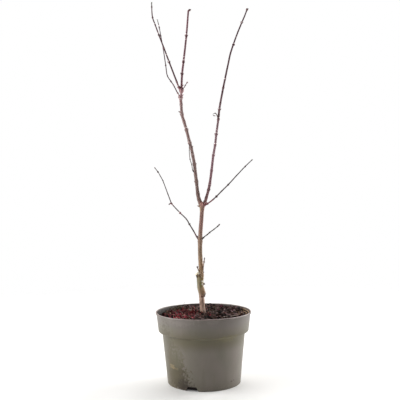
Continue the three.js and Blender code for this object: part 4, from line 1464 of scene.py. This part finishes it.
def near_place(rng, centre, spread):
    """A random place near a named one, kept on the compost and off the stem."""
    while True:
        x, y = (rng.gauss(c, s) for c, s in zip(centre, spread))
        if STEM_CLEAR < math.hypot(x, y) < SOIL_EDGE_RADIUS - EDGE_CLEAR - 1:
            return x, y


def chip_spots(rng, count, smallest, largest, lowest, highest):
    """Places for chips all over the compost, the small ones the most."""
    spots = []
    while len(spots) < count:
        x, y = on_soil(rng)
        size = smallest + (largest - smallest) * rng.random() ** 1.8
        out = math.hypot(x, y)
        if out + size * 0.75 < SOIL_EDGE_RADIUS + 1 and out - size * 0.6 > STEM_FOOT:
            sunk = BACK_SINK * float(smooth(*SOIL_RISE_SPAN, y))
            spots.append((x, y, size, rng.uniform(lowest, highest) - sunk))
    return spots


def zone_spots(rng, zones):
    spots = []
    for count, middle, spread, smallest, largest, lowest, highest in zones:
        for _ in range(count):
            x, y = near_place(rng, middle, spread)
            spots.append((x, y, rng.uniform(smallest, largest), rng.uniform(lowest, highest)))
    return spots


def make_litter():
    rng = random.Random(LITTER_SEED)
    shapes = {
        "chips": chip_shapes(rng, 9, flat=0.42, long=1.7),
        "slivers": chip_shapes(rng, 6, flat=0.34, long=3.0, detail=3),
        "shreds": shred_shapes(rng, 8),
        "leaves": leaf_shapes(rng, 7),
    }

    def lay(name, dark, light, kind, spots, soft, tilt=LEAF_TILT, **looks):
        shape = scatter(rng, shapes[kind], spots, tilt)
        add_piece(name, shape, crumbly(name, dark, light, **looks), slot="compost", soft=soft)

    for name, kind, *sizes, dark, light in CHIPS:
        lay(name, dark, light, kind, chip_spots(rng, *sizes), False, CHIP_TILT)
    for name, kind, zones, dark, light in LITTER:
        lay(name, dark, light, kind, zone_spots(rng, zones), kind == "leaves", roughness=0.65, depth=0.2)
    for name, dark, light, kind, spots in STANDOUTS:
        lay(name, dark, light, kind, spots, kind != "chips", roughness=0.65, depth=0.2)
    make_fibres(rng)


def rootlet(rng):
    """A rootlet that wanders over the compost."""
    x, y = on_soil(rng)
    turn = rng.uniform(0, 2 * math.pi)
    most = SOIL_EDGE_RADIUS - 1
    points = []
    for _ in range(4):
        turn += rng.gauss(0, 0.5)
        points.append((x, y, float(soil_height(x, y)) + 1.8 + rng.uniform(-0.5, 1.0)))
        x += math.cos(turn) * rng.uniform(1.5, 4)
        y += math.sin(turn) * rng.uniform(1.5, 4)
        out = math.hypot(x, y)
        if out > most:
            x, y = x * most / out, y * most / out
    return fibre_part(points, rng.uniform(0.14, 0.26))


def make_fibres(rng):
    """Straw along the right edge, rootlets all over, and one strand that stands above the rim."""
    rootlets = [rootlet(rng) for _ in range(ROOTLETS)]
    for name, parts, dark, light in (
        ("straw", [fibre_part(points, 0.6) for points in STRAWS], 0xB08A68, 0xE6C6A2),
        ("pale_root", [fibre_part(PALE_ROOT, 0.7)], 0xAA968A, 0xD8C4B8),
        ("rootlets", [*rootlets, fibre_part(STRAND, 0.3)], 0x48322C, 0x84685C),
    ):
        add_piece(name, joined(parts), crumbly(name, dark, light, grain=0.8, depth=0.1), slot="compost")


# Studio

def add_light(name, place, size, watts):
    """A soft panel of light aimed at the middle of the plant's lower half."""
    lamp = bpy.data.lights.new(name, "AREA")
    lamp.shape = "RECTANGLE"
    lamp.size, lamp.size_y = size
    lamp.energy = watts
    holder = placed(name, lamp)
    holder.location = place
    holder.rotation_euler = (Vector(LIGHT_AIM) - Vector(place)).to_track_quat("-Z", "Y").to_euler()
    holder.visible_camera = False


def make_floor():
    """A pale floor that fades into the white surround."""
    look = Look("floor", 0.7, 0.1)
    away = look.vector("LENGTH", look.vector("MULTIPLY", look.place, (1, 1, 0)), output="Value")
    look.set({
        "Base Color": FLOOR_COLOUR, "Emission Color": WHITE, "Emission Strength": FLOOR_GLOW,
        "Alpha": away.between(*FLOOR_FADE, 1, 0),
    })
    turn = circle(FLOOR_SIDES)
    rings = [
        np.stack([np.cos(turn), np.sin(turn), 0 * turn], 1) * (FLOOR_RADIUS * ring / FLOOR_RINGS)
        for ring in range(1, FLOOR_RINGS + 1)
    ]
    mesh = new_mesh("studio_floor", *skin(rings, (0, 0, 0), flip=True))
    mesh.materials.append(look.finish(look.noise(3), 0.05))
    floor = placed("studio_floor", mesh)


def make_studio():
    """The floor and a white surround, with soft panels of light round the plant."""
    world = bpy.data.worlds.new("studio")
    world.use_nodes = True
    tree = world.node_tree
    background = tree.nodes["Background"]
    rays = tree.nodes.new("ShaderNodeLightPath")
    tree.links.new(rays.outputs["Is Camera Ray"], background.inputs["Strength"])
    background.inputs["Color"].default_value = WHITE
    bpy.context.scene.world = world
    bpy.context.scene.view_settings.view_transform = "Standard"
    make_floor()
    for light in LIGHTS:
        add_light(*light)


def make_camera():
    lens = bpy.data.cameras.new("camera")
    lens.lens = FOCAL_LENGTH
    lens.sensor_width = SENSOR_WIDTH
    lens.clip_start = CLIP_START
    holder = placed("camera", lens)
    holder.location = Vector(CAMERA_PLACE) * MM
    upright = Matrix.Rotation(math.radians(90), 4, "X") @ Matrix.Rotation(math.radians(CAMERA_ROLL), 4, "Z")
    holder.rotation_euler = upright.to_euler()
    bpy.context.scene.camera = holder


make_camera()
make_studio()
make_pot()
make_soil()
make_litter()
make_plant()
